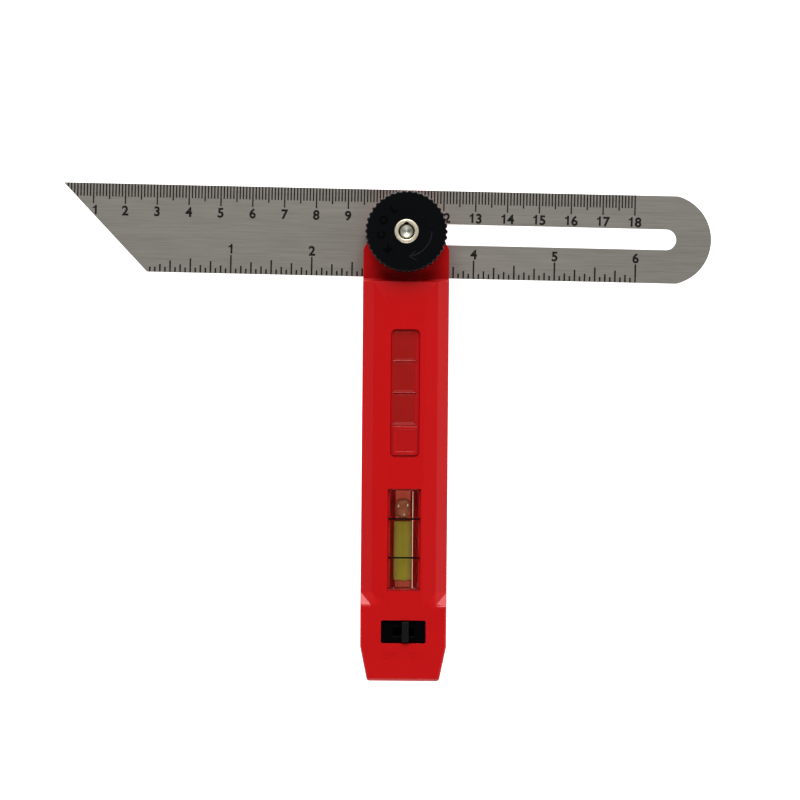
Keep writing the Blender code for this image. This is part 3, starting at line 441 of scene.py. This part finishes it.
def figure_one(height, depth):
    """The figure 1 with its flag, as an upright stroke with a slanted cut on the left."""
    half = 0.1 * height
    right = 0.14 * height
    left = right - 2 * half
    flag = right - 0.42 * height
    low = -height / 2
    top = height / 2
    outline = [(left, low), (right, low), (right, top), (left + 0.04 * height, top),
               (left - 0.03 * height, 0.35 * height), (flag, 0.27 * height), (flag, 0.13 * height),
               (left, 0.19 * height)]
    return slab(outline, -depth / 2, depth / 2)


def move(shape, turn, place):
    """Turn a shape about Z and move it."""
    matrix = Matrix.Translation(place) @ Matrix.Rotation(turn, 4, "Z")
    bmesh.ops.transform(shape, matrix=matrix, verts=shape.verts)
    return shape


# ---------------------------------------------------------------- rule

def rule_extent():
    """Lowest and highest corner of the rule in its own directions, from the CAD mesh."""
    back = Matrix.Rotation(-RULE_TILT, 3, "Z")
    points = [back @ vert.co for vert in frame["nodes"]["blade"].data.vertices]
    low = Vector([min(point[side] for point in points) for side in range(3)])
    high = Vector([max(point[side] for point in points) for side in range(3)])
    return low, high


def rule_marks(name, marks, finish):
    """Join marks made in the rule's own directions and turn them to the rule."""
    shape = bmesh.new()
    for mark in marks:
        take_in(shape, mark)
    move(shape, RULE_TILT, (0.0, 0.0, 0.0))
    return finish_piece(name, shape, finish, "rule", (), False)


def line_mark(place, width, start, end, top):
    """A straight mark across the rule, let into its face."""
    return block((place - width / 2, min(start, end), top - MARK_PROUD),
                 (place + width / 2, max(start, end), top + MARK_PROUD))


def number_mark(number, place, middle, top):
    """The figures of a number, side by side and centred on its line."""
    figures = str(number)
    shape = bmesh.new()
    for order, figure in enumerate(figures):
        if figure == "1":
            made = figure_one(DIGIT_HEIGHT, 2 * MARK_PROUD)
        else:
            made = lettering(figure, DIGIT_HEIGHT, 2 * MARK_PROUD, DIGIT_WEIGHT)
        aside = (order - (len(figures) - 1) / 2) * DIGIT_STEP
        take_in(shape, move(made, 0.0, (place + aside, middle, top)))
    return shape


def rule(steel, fill):
    """The steel strip, with millimetres along its upper edge and sixteenths of an inch along its lower one."""
    low, high = rule_extent()
    softened("blade", "rule_strip", steel, "rule", 0.03 * MM, 1, 40.0)
    top = high.z
    edge = high.y - MARK_MARGIN
    marks = []
    for number in range(1, MILLIMETRE_MARKS + 1):
        place = MILLIMETRE_ZERO + number * MM
        room = place - low.x - 0.4 * MM
        length = 6.4 * MM if number % 10 == 0 else 5.0 * MM if number % 5 == 0 else 4.1 * MM
        if room > 0.6 * MM:
            marks.append(line_mark(place, MILLIMETRE_MARK_WIDTH, edge, high.y - min(length, room), top))
    for number in range(1, MILLIMETRE_MARKS // 10 + 1):
        place = MILLIMETRE_ZERO + number * 10 * MM
        aside = FIRST_DIGIT_ASIDE if number == 1 else 0.0
        marks.append(number_mark(number, place + aside, high.y - MILLIMETRE_DIGITS_IN, top))
    rule_marks("millimetre_scale", marks, fill)
    edge = low.y + MARK_MARGIN
    marks = []
    lengths = {16: 5.8 * MM, 8: 4.5 * MM, 4: 3.7 * MM, 2: 2.5 * MM, 1: 1.6 * MM}
    for number in range(INCH_MARKS + 1):
        place = INCH_ZERO + number * INCH / 16
        step = next(size for size in lengths if number % size == 0)
        length = lengths[step] if number else lengths[1]
        marks.append(line_mark(place, INCH_MARK_WIDTH, edge, low.y + length, top))
    for number in range(1, INCH_MARKS // 16 + 1):
        marks.append(number_mark(number, INCH_ZERO + number * INCH, low.y + INCH_DIGITS_IN, top))
    rule_marks("inch_scale", marks, fill)


# ---------------------------------------------------------------- knob and bolt

def knob(plastic, glossy, arrow_highlight_black):
    """The grip: a spun body whose rim is pressed into rounded teeth."""
    radius = (KNOB_HIGH.x - KNOB_LOW.x) / 2
    bottom = KNOB_LOW.z
    top = KNOB_HIGH.z
    bore = (INSERT_HIGH.x - INSERT_LOW.x) / 2 + 0.08 * MM
    rim = radius - 0.15 * MM
    corners = [
        (bore, bottom), (rim - 1.2 * MM, bottom),
        (rim - 0.4 * MM, bottom + 0.25 * MM), (rim, bottom + 0.9 * MM),
        (radius, bottom + 1.2 * MM), (radius, top - 0.7 * MM), (radius - 0.1 * MM, top - 0.35 * MM),
        (radius - 0.3 * MM, top - 0.1 * MM), (radius - 0.6 * MM, top), (bore + 0.2 * MM, top),
        (bore, top - 0.2 * MM),
    ]
    shape = spun([(x, 0.0, z) for x, z in corners], KNOB_TEETH * TOOTH_STEPS)
    teeth_from = radius - TOOTH_REACH
    for vert in shape.verts:
        distance = math.hypot(vert.co.x, vert.co.y)
        share = min(1.0, max(0.0, (distance - teeth_from) / (radius - teeth_from)))
        wave = 0.5 - 0.5 * math.cos(KNOB_TEETH * math.atan2(vert.co.y, vert.co.x))
        factor = 1.0 - share * TOOTH_DEPTH * wave ** 1.2 / distance
        vert.co.x *= factor
        vert.co.y *= factor
    finish_piece("knob_grip", shape, plastic, "knob", ("lock_knob",))
    knob_marks(glossy, arrow_highlight_black, top)


def knob_marks(glossy, arrow_highlight_black, face):
    """The raised word LOCK, read with its feet to the hub, and a curved arrow for the way to tighten, in a
    lighter black that is a painted highlight.
    """
    shape = bmesh.new()
    for letter, degrees in LETTER_PLACES:
        angle = math.radians(degrees)
        mark = lettering(letter, 2.4 * MM, 0.3 * MM, 0.06 * MM)
        place = (LETTER_REACH * math.cos(angle), LETTER_REACH * math.sin(angle), face)
        take_in(shape, move(mark, angle - math.pi / 2, place))
    finish_piece("knob_lettering", shape, glossy, "knob", (), False)
    half = 0.22 * MM
    narrow = 0.4 * half
    sunk = 0.05 * MM
    proud = 0.16 * MM
    arrow = bmesh.new()
    section = [(ARROW_REACH - half, 0.0, face - sunk), (ARROW_REACH + half, 0.0, face - sunk),
               (ARROW_REACH + narrow, 0.0, face + proud), (ARROW_REACH - narrow, 0.0, face + proud)]
    start = arrow.faces.new([arrow.verts.new(point) for point in section])
    bmesh.ops.spin(arrow, geom=[start], cent=(0, 0, 0), axis=(0, 0, -1), angle=ARROW_SWEEP, steps=40)
    bmesh.ops.remove_doubles(arrow, verts=arrow.verts, dist=0.0005 * MM)
    bmesh.ops.recalc_face_normals(arrow, faces=arrow.faces)
    tip = (ARROW_REACH * math.cos(ARROW_SWEEP), -ARROW_REACH * math.sin(ARROW_SWEEP), face)
    for lean in (-32.0, 32.0):
        barb = block((0.0, -0.15 * MM, -sunk), (2.6 * MM, 0.15 * MM, proud))
        take_in(arrow, move(barb, math.pi / 2 - ARROW_SWEEP + math.radians(lean), tip))
    finish_piece("knob_arrow", arrow, arrow_highlight_black, "knob", (), False)


def knob_bushing(metal):
    """The pressed-in threaded insert: a chamfered ring with a staked notch at the top of its bore."""
    outer = (INSERT_HIGH.x - INSERT_LOW.x) / 2
    bore = 2.5 * MM
    bottom = INSERT_LOW.z
    top = INSERT_HIGH.z
    corners = [(bore, bottom), (outer, bottom), (outer, top - 0.25 * MM), (outer - 0.1 * MM, top - 0.07 * MM),
               (outer - 0.3 * MM, top), (bore + 0.3 * MM, top), (bore + 0.08 * MM, top - 0.1 * MM),
               (bore, top - 0.35 * MM)]
    shape = spun([(x, 0.0, z) for x, z in corners], 128)
    notch = math.radians(24.0)
    for vert in shape.verts:
        distance = math.hypot(vert.co.x, vert.co.y)
        aside = abs(math.atan2(vert.co.x, vert.co.y))
        if distance < bore + 0.4 * MM and aside < notch:
            push = 0.5 * MM * (1.0 - aside / notch)
            vert.co.x *= 1.0 + push / distance
            vert.co.y *= 1.0 + push / distance
    finish_piece("knob_bushing", shape, metal, "knob", ("knob_insert",))


def clamp_bolt(metal, end_metal):
    """The carriage bolt: head, square neck and shank as they are, and a threaded end with a centre dimple."""
    cut_z = BOLT_TOP - 10.4 * MM
    shank = cad_copy("pivot_bolt")
    everything = shank.verts[:] + shank.edges[:] + shank.faces[:]
    parted = bmesh.ops.bisect_plane(shank, geom=everything, dist=0.001 * MM, plane_co=(0.0, 0.0, cut_z),
                                    plane_no=(0.0, 0.0, 1.0), clear_outer=True)
    rim = [item for item in parted["geom_cut"] if isinstance(item, bmesh.types.BMEdge)]
    bmesh.ops.holes_fill(shank, edges=rim)
    bmesh.ops.recalc_face_normals(shank, faces=shank.faces)
    round_edges(shank, 0.12 * MM, 2, 25.0)
    finish_piece("clamp_bolt", shank, metal, "handle", ("pivot_bolt",))
    pitch = 0.8 * MM
    crest = 2.2 * MM
    root = 1.85 * MM
    turns = 12
    profile = [(0.0, cut_z - 0.05 * MM), (root, cut_z - 0.05 * MM)]
    for number in range(turns):
        foot = cut_z + 0.1 * MM + number * pitch
        profile += [(root, foot), (crest, foot + 0.3 * pitch), (crest, foot + 0.45 * pitch),
                    (root, foot + 0.75 * pitch)]
    top = BOLT_TOP
    profile += [(root, top - 0.55 * MM), (crest - 0.05 * MM, top - 0.45 * MM),
                (crest - 0.1 * MM, top - 0.3 * MM), (crest - 0.3 * MM, top - 0.05 * MM),
                (crest - 0.45 * MM, top), (crest - 0.6 * MM, top - 0.05 * MM),
                (0.3 * MM, top - 0.62 * MM), (0.0, top - 0.68 * MM)]
    thread = spun([(x, 0.0, z) for x, z in profile], 64, ring=False)
    finish_piece("bolt_thread", thread, end_metal, "handle")


# ---------------------------------------------------------------- vial

def vial(acrylic, pale_highlight_paint, painted_glow_backing, spirit, bubble_film, line_black, red):
    """A flat-topped clear block over a column of dyed spirit, with a bubble at its upper end."""
    body = block((VIAL_LOW.x, VIAL_LOW.y - 0.1 * MM, VIAL_LOW.z),
                 (VIAL_HIGH.x, VIAL_HIGH.y + 0.1 * MM, BLOCK_TOP))
    round_edges(body, 0.45 * MM, 4, 40.0)
    finish_piece("vial_block", body, acrylic, "handle", ("vial_body",))
    spirit_column(spirit)
    bubble(bubble_film, pale_highlight_paint)
    vial_lines(acrylic, pale_highlight_paint, line_black)
    softened("vial_plug", "vial_end_plug", acrylic, "handle", 0.15 * MM, 2, 40.0)
    vial_seat(painted_glow_backing, red)


def spirit_column(spirit):
    """The spirit: rounded at its lower end, and hollowed by the bubble at its upper end."""
    round_end = 0.6 * MM
    hollow = 1.3 * MM
    surface = UPPER_LINE_Y - 0.4 * MM
    corners = [(0.0, SPIRIT_LOW_Y)]
    for step in range(4):
        turn = math.radians(30.0 * step)
        corners.append((SPIRIT_RADIUS - round_end + round_end * math.sin(turn),
                        SPIRIT_LOW_Y + round_end - round_end * math.cos(turn)))
    for step in range(1, 8):
        turn = math.radians(11.25 * step)
        corners.append((SPIRIT_RADIUS * math.cos(turn), surface - hollow * math.sin(turn)))
    corners.append((0.0, surface - hollow))
    round_bar(corners, 64, SPIRIT_X, SPIRIT_Z, "vial_spirit_column", spirit, ("vial_liquid",))


def bubble(bubble_film, pale_highlight_paint):
    """The air bubble as a rounded capsule, with three small glints under the top of the block: pale beads that
    are painted highlights.
    """
    cap = 1.6 * MM
    wide = SPIRIT_RADIUS - 0.35 * MM
    turns = [math.radians(15.0 * step) for step in range(7)]
    lower_cap = [(wide * math.sin(turn), BUBBLE_LOW_Y + cap - cap * math.cos(turn)) for turn in turns]
    upper_cap = [(wide * math.cos(turn), BUBBLE_HIGH_Y - cap + cap * math.sin(turn)) for turn in turns]
    upper_cap[-1] = (0.0, BUBBLE_HIGH_Y)
    round_bar(lower_cap + upper_cap, 48, SPIRIT_X, SPIRIT_Z, "vial_bubble", bubble_film)
    # painted highlights: three pale beads
    glints = bmesh.new()
    for x, share, size in ((-1.45, 0.62, 0.3), (1.4, 0.66, 0.28), (0.3, 0.2, 0.24)):
        glint = bmesh.new()
        bmesh.ops.create_uvsphere(glint, u_segments=16, v_segments=10, radius=size * MM)
        bmesh.ops.scale(glint, verts=glint.verts, vec=(0.7, 1.5, 0.4))
        y = BUBBLE_LOW_Y + share * (BUBBLE_HIGH_Y - BUBBLE_LOW_Y)
        place = (SPIRIT_X + x * MM, y, SPIRIT_Z + SPIRIT_RADIUS - 0.35 * MM)
        take_in(glints, move(glint, 0.0, place))
    finish_piece("vial_bubble_glints", glints, pale_highlight_paint, "handle")


def vial_lines(acrylic, pale_highlight_paint, line_black):
    """The two long edges of the block's flat, the right one a pale strip that is a painted highlight, and the
    two index lines that go over and down its sides.
    """
    edge_x = SPIRIT_X + SPIRIT_RADIUS + 0.1 * MM
    for name, x in (("vial_edge_painted_highlight_right", edge_x), ("vial_edge_line_left", 2 * SPIRIT_X - edge_x)):
        line = block((x - 0.09 * MM, VIAL_LOW.y + 0.3 * MM, BLOCK_TOP - 0.1 * MM),
                     (x + 0.09 * MM, VIAL_HIGH.y - 0.3 * MM, BLOCK_TOP + 0.04 * MM))
        # the right line is a painted highlight, the left one clear acrylic
        finish_piece(name, line, pale_highlight_paint if x > 0 else acrylic, "handle", (), False)
    line_top = BLOCK_TOP + 0.12 * MM
    for node, name in (("vial_ring_upper", "index_line_upper"), ("vial_ring_lower", "index_line_lower")):
        low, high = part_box(node)
        line = block((low.x, low.y, BLOCK_TOP + 0.02 * MM), (high.x, high.y, line_top))
        take_in(line, block((low.x, low.y, VIAL_LOW.z), (VIAL_LOW.x - 0.02 * MM, high.y, line_top)))
        take_in(line, block((VIAL_HIGH.x + 0.02 * MM, low.y, VIAL_LOW.z), (high.x, high.y, line_top)))
        finish_piece(name, line, line_black, "handle", (node,), False)


def vial_seat(painted_glow_backing, red):
    """Pale strips behind the two ends of the vial, carrying a painted glow, and the red ribs that hold its
    ends and sides.
    """
    back = SPIRIT_Z - SPIRIT_RADIUS - 0.45 * MM
    reach = 0.8 * SPIRIT_RADIUS
    for number, (start, end) in enumerate(((UPPER_LINE_Y - 0.3 * MM, VIAL_HIGH.y - 0.4 * MM),
                                           (VIAL_LOW.y + 0.4 * MM, SPIRIT_LOW_Y - 0.3 * MM))):
        backing = block((SPIRIT_X - reach, start, back), (SPIRIT_X + reach, end, back + 0.15 * MM))
        round_edges(backing, 0.05 * MM, 1)
        finish_piece(f"vial_backing_{number + 1}", backing, painted_glow_backing, "handle")
    side = WINDOW_HALF - 0.02 * MM
    for name, start, end in (("vial_seat_end_upper", VIAL_HIGH.y + 0.12 * MM, VIAL_HIGH.y + 0.28 * MM),
                             ("vial_seat_end_lower", VIAL_LOW.y - 0.28 * MM, VIAL_LOW.y - 0.12 * MM)):
        stop = block((-side, start, VIAL_LOW.z), (side, end, BLOCK_TOP - 0.1 * MM))
        round_edges(stop, 0.04 * MM, 1)
        finish_piece(name, stop, red, "handle")
    near = VIAL_HIGH.x + 0.06 * MM
    for name, low_x, high_x in (("vial_seat_rib_left", -side, -near), ("vial_seat_rib_right", near, side)):
        rib = block((low_x, VIAL_LOW.y, VIAL_LOW.z), (high_x, VIAL_HIGH.y, BLOCK_TOP - 0.7 * MM))
        round_edges(rib, 0.12 * MM, 2)
        finish_piece(name, rib, red, "handle")


# ---------------------------------------------------------------- battery door

def battery_door(plastic, window_plastic):
    """A door with three sunk windows over the cells and a latch with a finger pad below them."""
    shape = cad_copy("battery_cover")
    middle = (DOOR_LOW + DOOR_HIGH) / 2
    size = DOOR_HIGH - DOOR_LOW
    grown = Vector((1.0 + 0.4 * MM / size.x, 1.0 + 0.4 * MM / size.y, 1.0))
    bmesh.ops.translate(shape, verts=shape.verts, vec=-middle)
    bmesh.ops.scale(shape, verts=shape.verts, vec=grown)
    bmesh.ops.translate(shape, verts=shape.verts, vec=middle)
    round_edges(shape, 0.12 * MM, 2, 40.0)
    finish_piece("battery_door", shape, plastic, "lid", ("battery_cover",))
    surface = DOOR_HIGH.z - 0.3 * MM
    aside = -0.35 * MM
    half_x = 3.3 * MM
    half_y = 4.55 * MM
    for number in (1, 2, 3):
        cell_low, cell_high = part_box(f"button_cell_{number}")
        middle_y = (cell_low.y + cell_high.y) / 2
        pane = block((aside - half_x, middle_y - half_y, surface - 0.2 * MM),
                     (aside + half_x, middle_y + half_y, surface + 0.14 * MM))
        inset_top(pane, 0.5 * MM, 0.06 * MM)
        round_edges(pane, 0.05 * MM, 1, 20.0)
        finish_piece(f"battery_window_{number}", pane, window_plastic, "lid")
        bar_y = middle_y - half_y - 0.19 * MM
        bar = block((aside - half_x - 0.3 * MM, bar_y - 0.17 * MM, surface - 0.2 * MM),
                    (aside + half_x + 0.3 * MM, bar_y + 0.17 * MM, surface + 0.26 * MM))
        round_edges(bar, 0.12 * MM, 3)
        finish_piece(f"battery_window_bar_{number}", bar, plastic, "lid")
    low_y = DOOR_LOW.y + 0.5 * MM
    high_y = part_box("button_cell_3")[0].y - 1.5 * MM
    pad = block((-3.9 * MM, low_y, surface - 0.1 * MM), (3.9 * MM, high_y, DOOR_HIGH.z + 0.05 * MM))
    inset_top(pad, 1.4 * MM, 0.22 * MM)
    round_edges(pad, 0.1 * MM, 2)
    finish_piece("battery_latch_pad", pad, plastic, "lid")


def inset_top(shape, margin, depth):
    """Sink the middle of a block's top face, leaving a margin round it."""
    shape.faces.ensure_lookup_table()
    top = max(shape.faces, key=lambda face: face.calc_center_median().z)
    bmesh.ops.inset_region(shape, faces=[top], thickness=margin, depth=0.0)
    bmesh.ops.inset_region(shape, faces=[top], thickness=0.5 * depth, depth=-depth)


# ---------------------------------------------------------------- switch

def switch(case_plastic, plastic):
    """The switch's case and its thumb piece, with three grip ribs along the thumb's top."""
    softened("switch_housing", "switch_case", case_plastic, "handle", 0.1 * MM, 2, 40.0)
    softened("switch_slider", "switch_thumb", plastic, "slider", 0.2 * MM, 3, 40.0)
    middle = (THUMB_LOW.x + THUMB_HIGH.x) / 2
    for number in range(3):
        place = middle + (number - 1) * 0.7 * MM
        rib = block((place - 0.14 * MM, THUMB_LOW.y + 0.4 * MM, THUMB_HIGH.z - 0.3 * MM),
                    (place + 0.14 * MM, THUMB_HIGH.y - 0.4 * MM, THUMB_HIGH.z + 0.12 * MM))
        round_edges(rib, 0.06 * MM, 2)
        finish_piece(f"switch_thumb_rib_{number + 1}", rib, plastic, "slider")


# ---------------------------------------------------------------- handle

def handle(red):
    """The two halves of the handle, and small raised off and on marks below the switch."""
    softened("handle_front_body", "handle_shell", red, "handle", 0.15 * MM, 2, 9.0)
    softened("handle_back_plate", "handle_rear_plate", red, "handle", 0.15 * MM, 2, 40.0)
    shape = bmesh.new()
    for words, place in (("OFF", -4.4 * MM), ("ON", 4.2 * MM)):
        mark = lettering(words, 2.0 * MM, 0.16 * MM)
        take_in(shape, move(mark, 0.0, (place, CASE_BOTTOM_Y - 2.9 * MM, FACE_TOP)))
    finish_piece("switch_lettering", shape, red, "handle", (), False)


def small_metal(zinc):
    """The rear screws and the washer under the knob."""
    for number in range(1, 5):
        softened(f"handle_screw_{number}", f"handle_machine_screw_{number}", zinc, "handle",
                 0.08 * MM, 1, 40.0)
    softened("knob_washer", "knob_flat_washer", zinc, "knob_carrier", 0.12 * MM, 2, 40.0)


# ---------------------------------------------------------------- studio

def studio_tent():
    """A tent: dim on the left and near the maker, white on the right, with a dark opening overhead."""
    world = bpy.data.worlds.new("studio_tent")
    world.use_nodes = True
    tree = world.node_tree
    direction = add(tree, "ShaderNodeTexCoord").outputs["Generated"]
    parts = add(tree, "ShaderNodeSeparateXYZ", {}, {"Vector": direction})
    tone = None
    for direction_part, start, end, colour in (("X", -0.7, 0.7, TENT_RIGHT), ("Y", -0.2, -0.75, TENT_NEAR),
                                               ("Z", 0.70, 0.93, TENT_OPENING)):
        share = add(tree, "ShaderNodeMapRange", {"interpolation_type": "SMOOTHSTEP", "From Min": start,
                                                 "From Max": end}, {"Value": parts.outputs[direction_part]})
        mixed = add(tree, "ShaderNodeMix", {"data_type": "RGBA", 6: linear(TENT_LEFT), 7: linear(colour)},
                    {0: share.outputs["Result"]})
        if tone:
            tree.links.new(tone, mixed.inputs[6])
        tone = mixed.outputs[2]
    background = tree.nodes["Background"]
    tree.links.new(tone, background.inputs["Color"])
    background.inputs["Strength"].default_value = TENT_STRENGTH
    return world


def studio():
    """An opal light table under the gauge, the tent round it and two soft lamps."""
    scene = bpy.context.scene
    scene.view_settings.view_transform = "Standard"
    scene.world = studio_tent()
    plane = bmesh.new()
    bmesh.ops.create_grid(plane, x_segments=1, y_segments=1, size=3.0)
    bmesh.ops.translate(plane, verts=plane.verts, vec=(0.0, 0.0, -0.05 * MM))
    mesh = bpy.data.meshes.new("light_table")
    plane.to_mesh(mesh)
    plane.free()
    floor = bpy.data.objects.new("light_table", mesh)
    scene.collection.objects.link(floor)
    settings = {"Base Color": linear("#F4F4F4"), "Roughness": 0.6, "Emission Color": linear("#FFFFFF"),
                "Emission Strength": 1.0}
    mesh.materials.append(new_material("opal_light_table", settings)[0])
    for name, place, size, power in (("softbox_far", (-0.1, 1.5, 1.0), 1.6, 48.0),
                                     ("softbox_near", (0.1, -1.35, 1.1), 1.4, 14.0)):
        lamp = bpy.data.lights.new(name, "AREA")
        lamp.shape = "SQUARE"
        lamp.size = size
        lamp.energy = power
        holder = bpy.data.objects.new(name, lamp)
        holder.location = place
        holder.rotation_mode = "QUATERNION"
        holder.rotation_quaternion = (Vector((0.0, -0.05, 0.0)) - Vector(place)).to_track_quat("-Z", "Y")
        scene.collection.objects.link(holder)


def camera():
    """Straight above the gauge, rolled by half a degree, with a long lens."""
    data = bpy.data.cameras.new("camera")
    seat = bpy.data.objects.new("camera", data)
    bpy.context.scene.collection.objects.link(seat)
    bpy.context.scene.camera = seat
    data.sensor_width = 36.0
    data.lens = data.sensor_width * VIEW_HEIGHT / VIEW_WIDTH
    blade_z = (RULE_LOW.z + RULE_HIGH.z) / 2
    seat.location = (-1.6 * MM, -52.2 * MM, blade_z + VIEW_HEIGHT)
    seat.rotation_euler = (0.0, 0.0, VIEW_ROLL)
    data.clip_start = 0.05
    data.clip_end = 10.0


def carry_over(finishes):
    """Give each CAD node that stays in view its finish."""
    for finish, nodes in finishes:
        for node in nodes:
            data = frame["nodes"][node].data
            data.materials.clear()
            data.materials.append(finish)


def main():
    camera()
    studio()
    red = moulded_plastic("moulded_red_abs", "#B8090C", "#C00C0F", 0.3, 0.04, 0.9 * MM, 0.01 * MM, 0.4)
    black = moulded_plastic("moulded_black_abs", "#070809", "#0C0D10", 0.26, 0.05, 0.35 * MM, 0.008 * MM,
                            0.15)
    dark_red = moulded_plastic("moulded_dark_red_abs", "#A8090B", "#B00C0E", 0.3, 0.05, 0.7 * MM, 0.012 * MM)
    smoked = moulded_plastic("smoked_red_polycarbonate", "#8E110E", "#9C1814", 0.3, 0.06, 1.4 * MM,
                             0.02 * MM, 0.35)
    # black nylon, its black set deeper than the nylon's own as painted shade in the switch window
    case_black = moulded_plastic("black_nylon_deepened_as_shade", "#020202", "#040404", 0.3, 0.04, 0.4 * MM, 0.004 * MM, 0.08)
    thumb_black = moulded_plastic("moulded_black_acetal", "#121011", "#1A1819", 0.3, 0.05, 0.4 * MM,
                                  0.01 * MM, 0.2)
    # painted highlight: the arrow's lighter black stands in for light along its raised arc
    arrow_highlight_black = moulded_plastic("black_abs_painted_highlight", "#16181B", "#1E2125", 0.3, 0.05, 0.4 * MM, 0.01 * MM, 0.4)
    painted_glow_backing = edge_lit_acrylic()
    steel = brushed_stainless()
    fill = etched_black()
    nickel = turned_metal("nickel_plated_brass", "#E2D8BE", "#F6EEDA", 0.42, 0.55, 0.12 * MM)
    bolt_end = turned_metal("chamfered_zinc_plate", "#A6A79D", "#BCBDB3", 0.42, 0.56, 0.15 * MM)
    zinc = turned_metal("bright_zinc_plate", "#AEB2AE", "#D2D5D0", 0.2, 0.36, 0.15 * MM)
    acrylic = clear_cast("polished_acrylic", "#FFF4EA", 1.49, 0.05, 0.35)
    film = bubble_skin()
    # painted highlight: a pale solid for the bubble's glints and the bright line along the vial's right edge
    pale_highlight_paint = moulded_plastic("pale_painted_highlight", "#D8B49A", "#E6C8AE", 0.5, 0.1, 0.4 * MM, 0.01 * MM)
    epoxy = clear_cast("clear_lamp_epoxy", "#F4F4F0", 1.5, 0.05)
    spirit = dyed_spirit()
    board = woven_board()
    fibre = pressed_fibre()
    red_lead = moulded_plastic("extruded_red_pvc", "#A81416", "#B8191B", 0.45, 0.05, 0.5 * MM, 0.01 * MM)
    buff = moulded_plastic("dipped_buff_lacquer", "#A68E5E", "#B89F6C", 0.4, 0.08, 0.6 * MM, 0.02 * MM)

    rule(steel, fill)
    handle(red)
    knob(black, case_black, arrow_highlight_black)
    knob_bushing(nickel)
    clamp_bolt(zinc, bolt_end)
    vial(acrylic, pale_highlight_paint, painted_glow_backing, spirit, film, black, red)
    battery_door(dark_red, smoked)
    switch(case_black, thumb_black)
    small_metal(zinc)
    carry_over((
        (red, ("inner_cover",)),
        (zinc, ("cover_screw_1", "cover_screw_2", "slot_bush", "lamp_leg_left", "lamp_leg_right",
                "switch_terminal_1", "switch_terminal_2", "switch_terminal_3",
                "button_cell_1", "button_cell_2", "button_cell_3")),
        (nickel, ("contact_first", "contact_last", "link_lower", "link_upper")),
        (epoxy, ("vial_lamp",)),
        (board, ("circuit_board",)),
        (buff, ("lamp_resistor",)),
        (fibre, ("friction_washer_back", "friction_washer_front")),
        (black, ("lead_negative",)),
        (red_lead, ("lead_positive",)),
    ))


main()
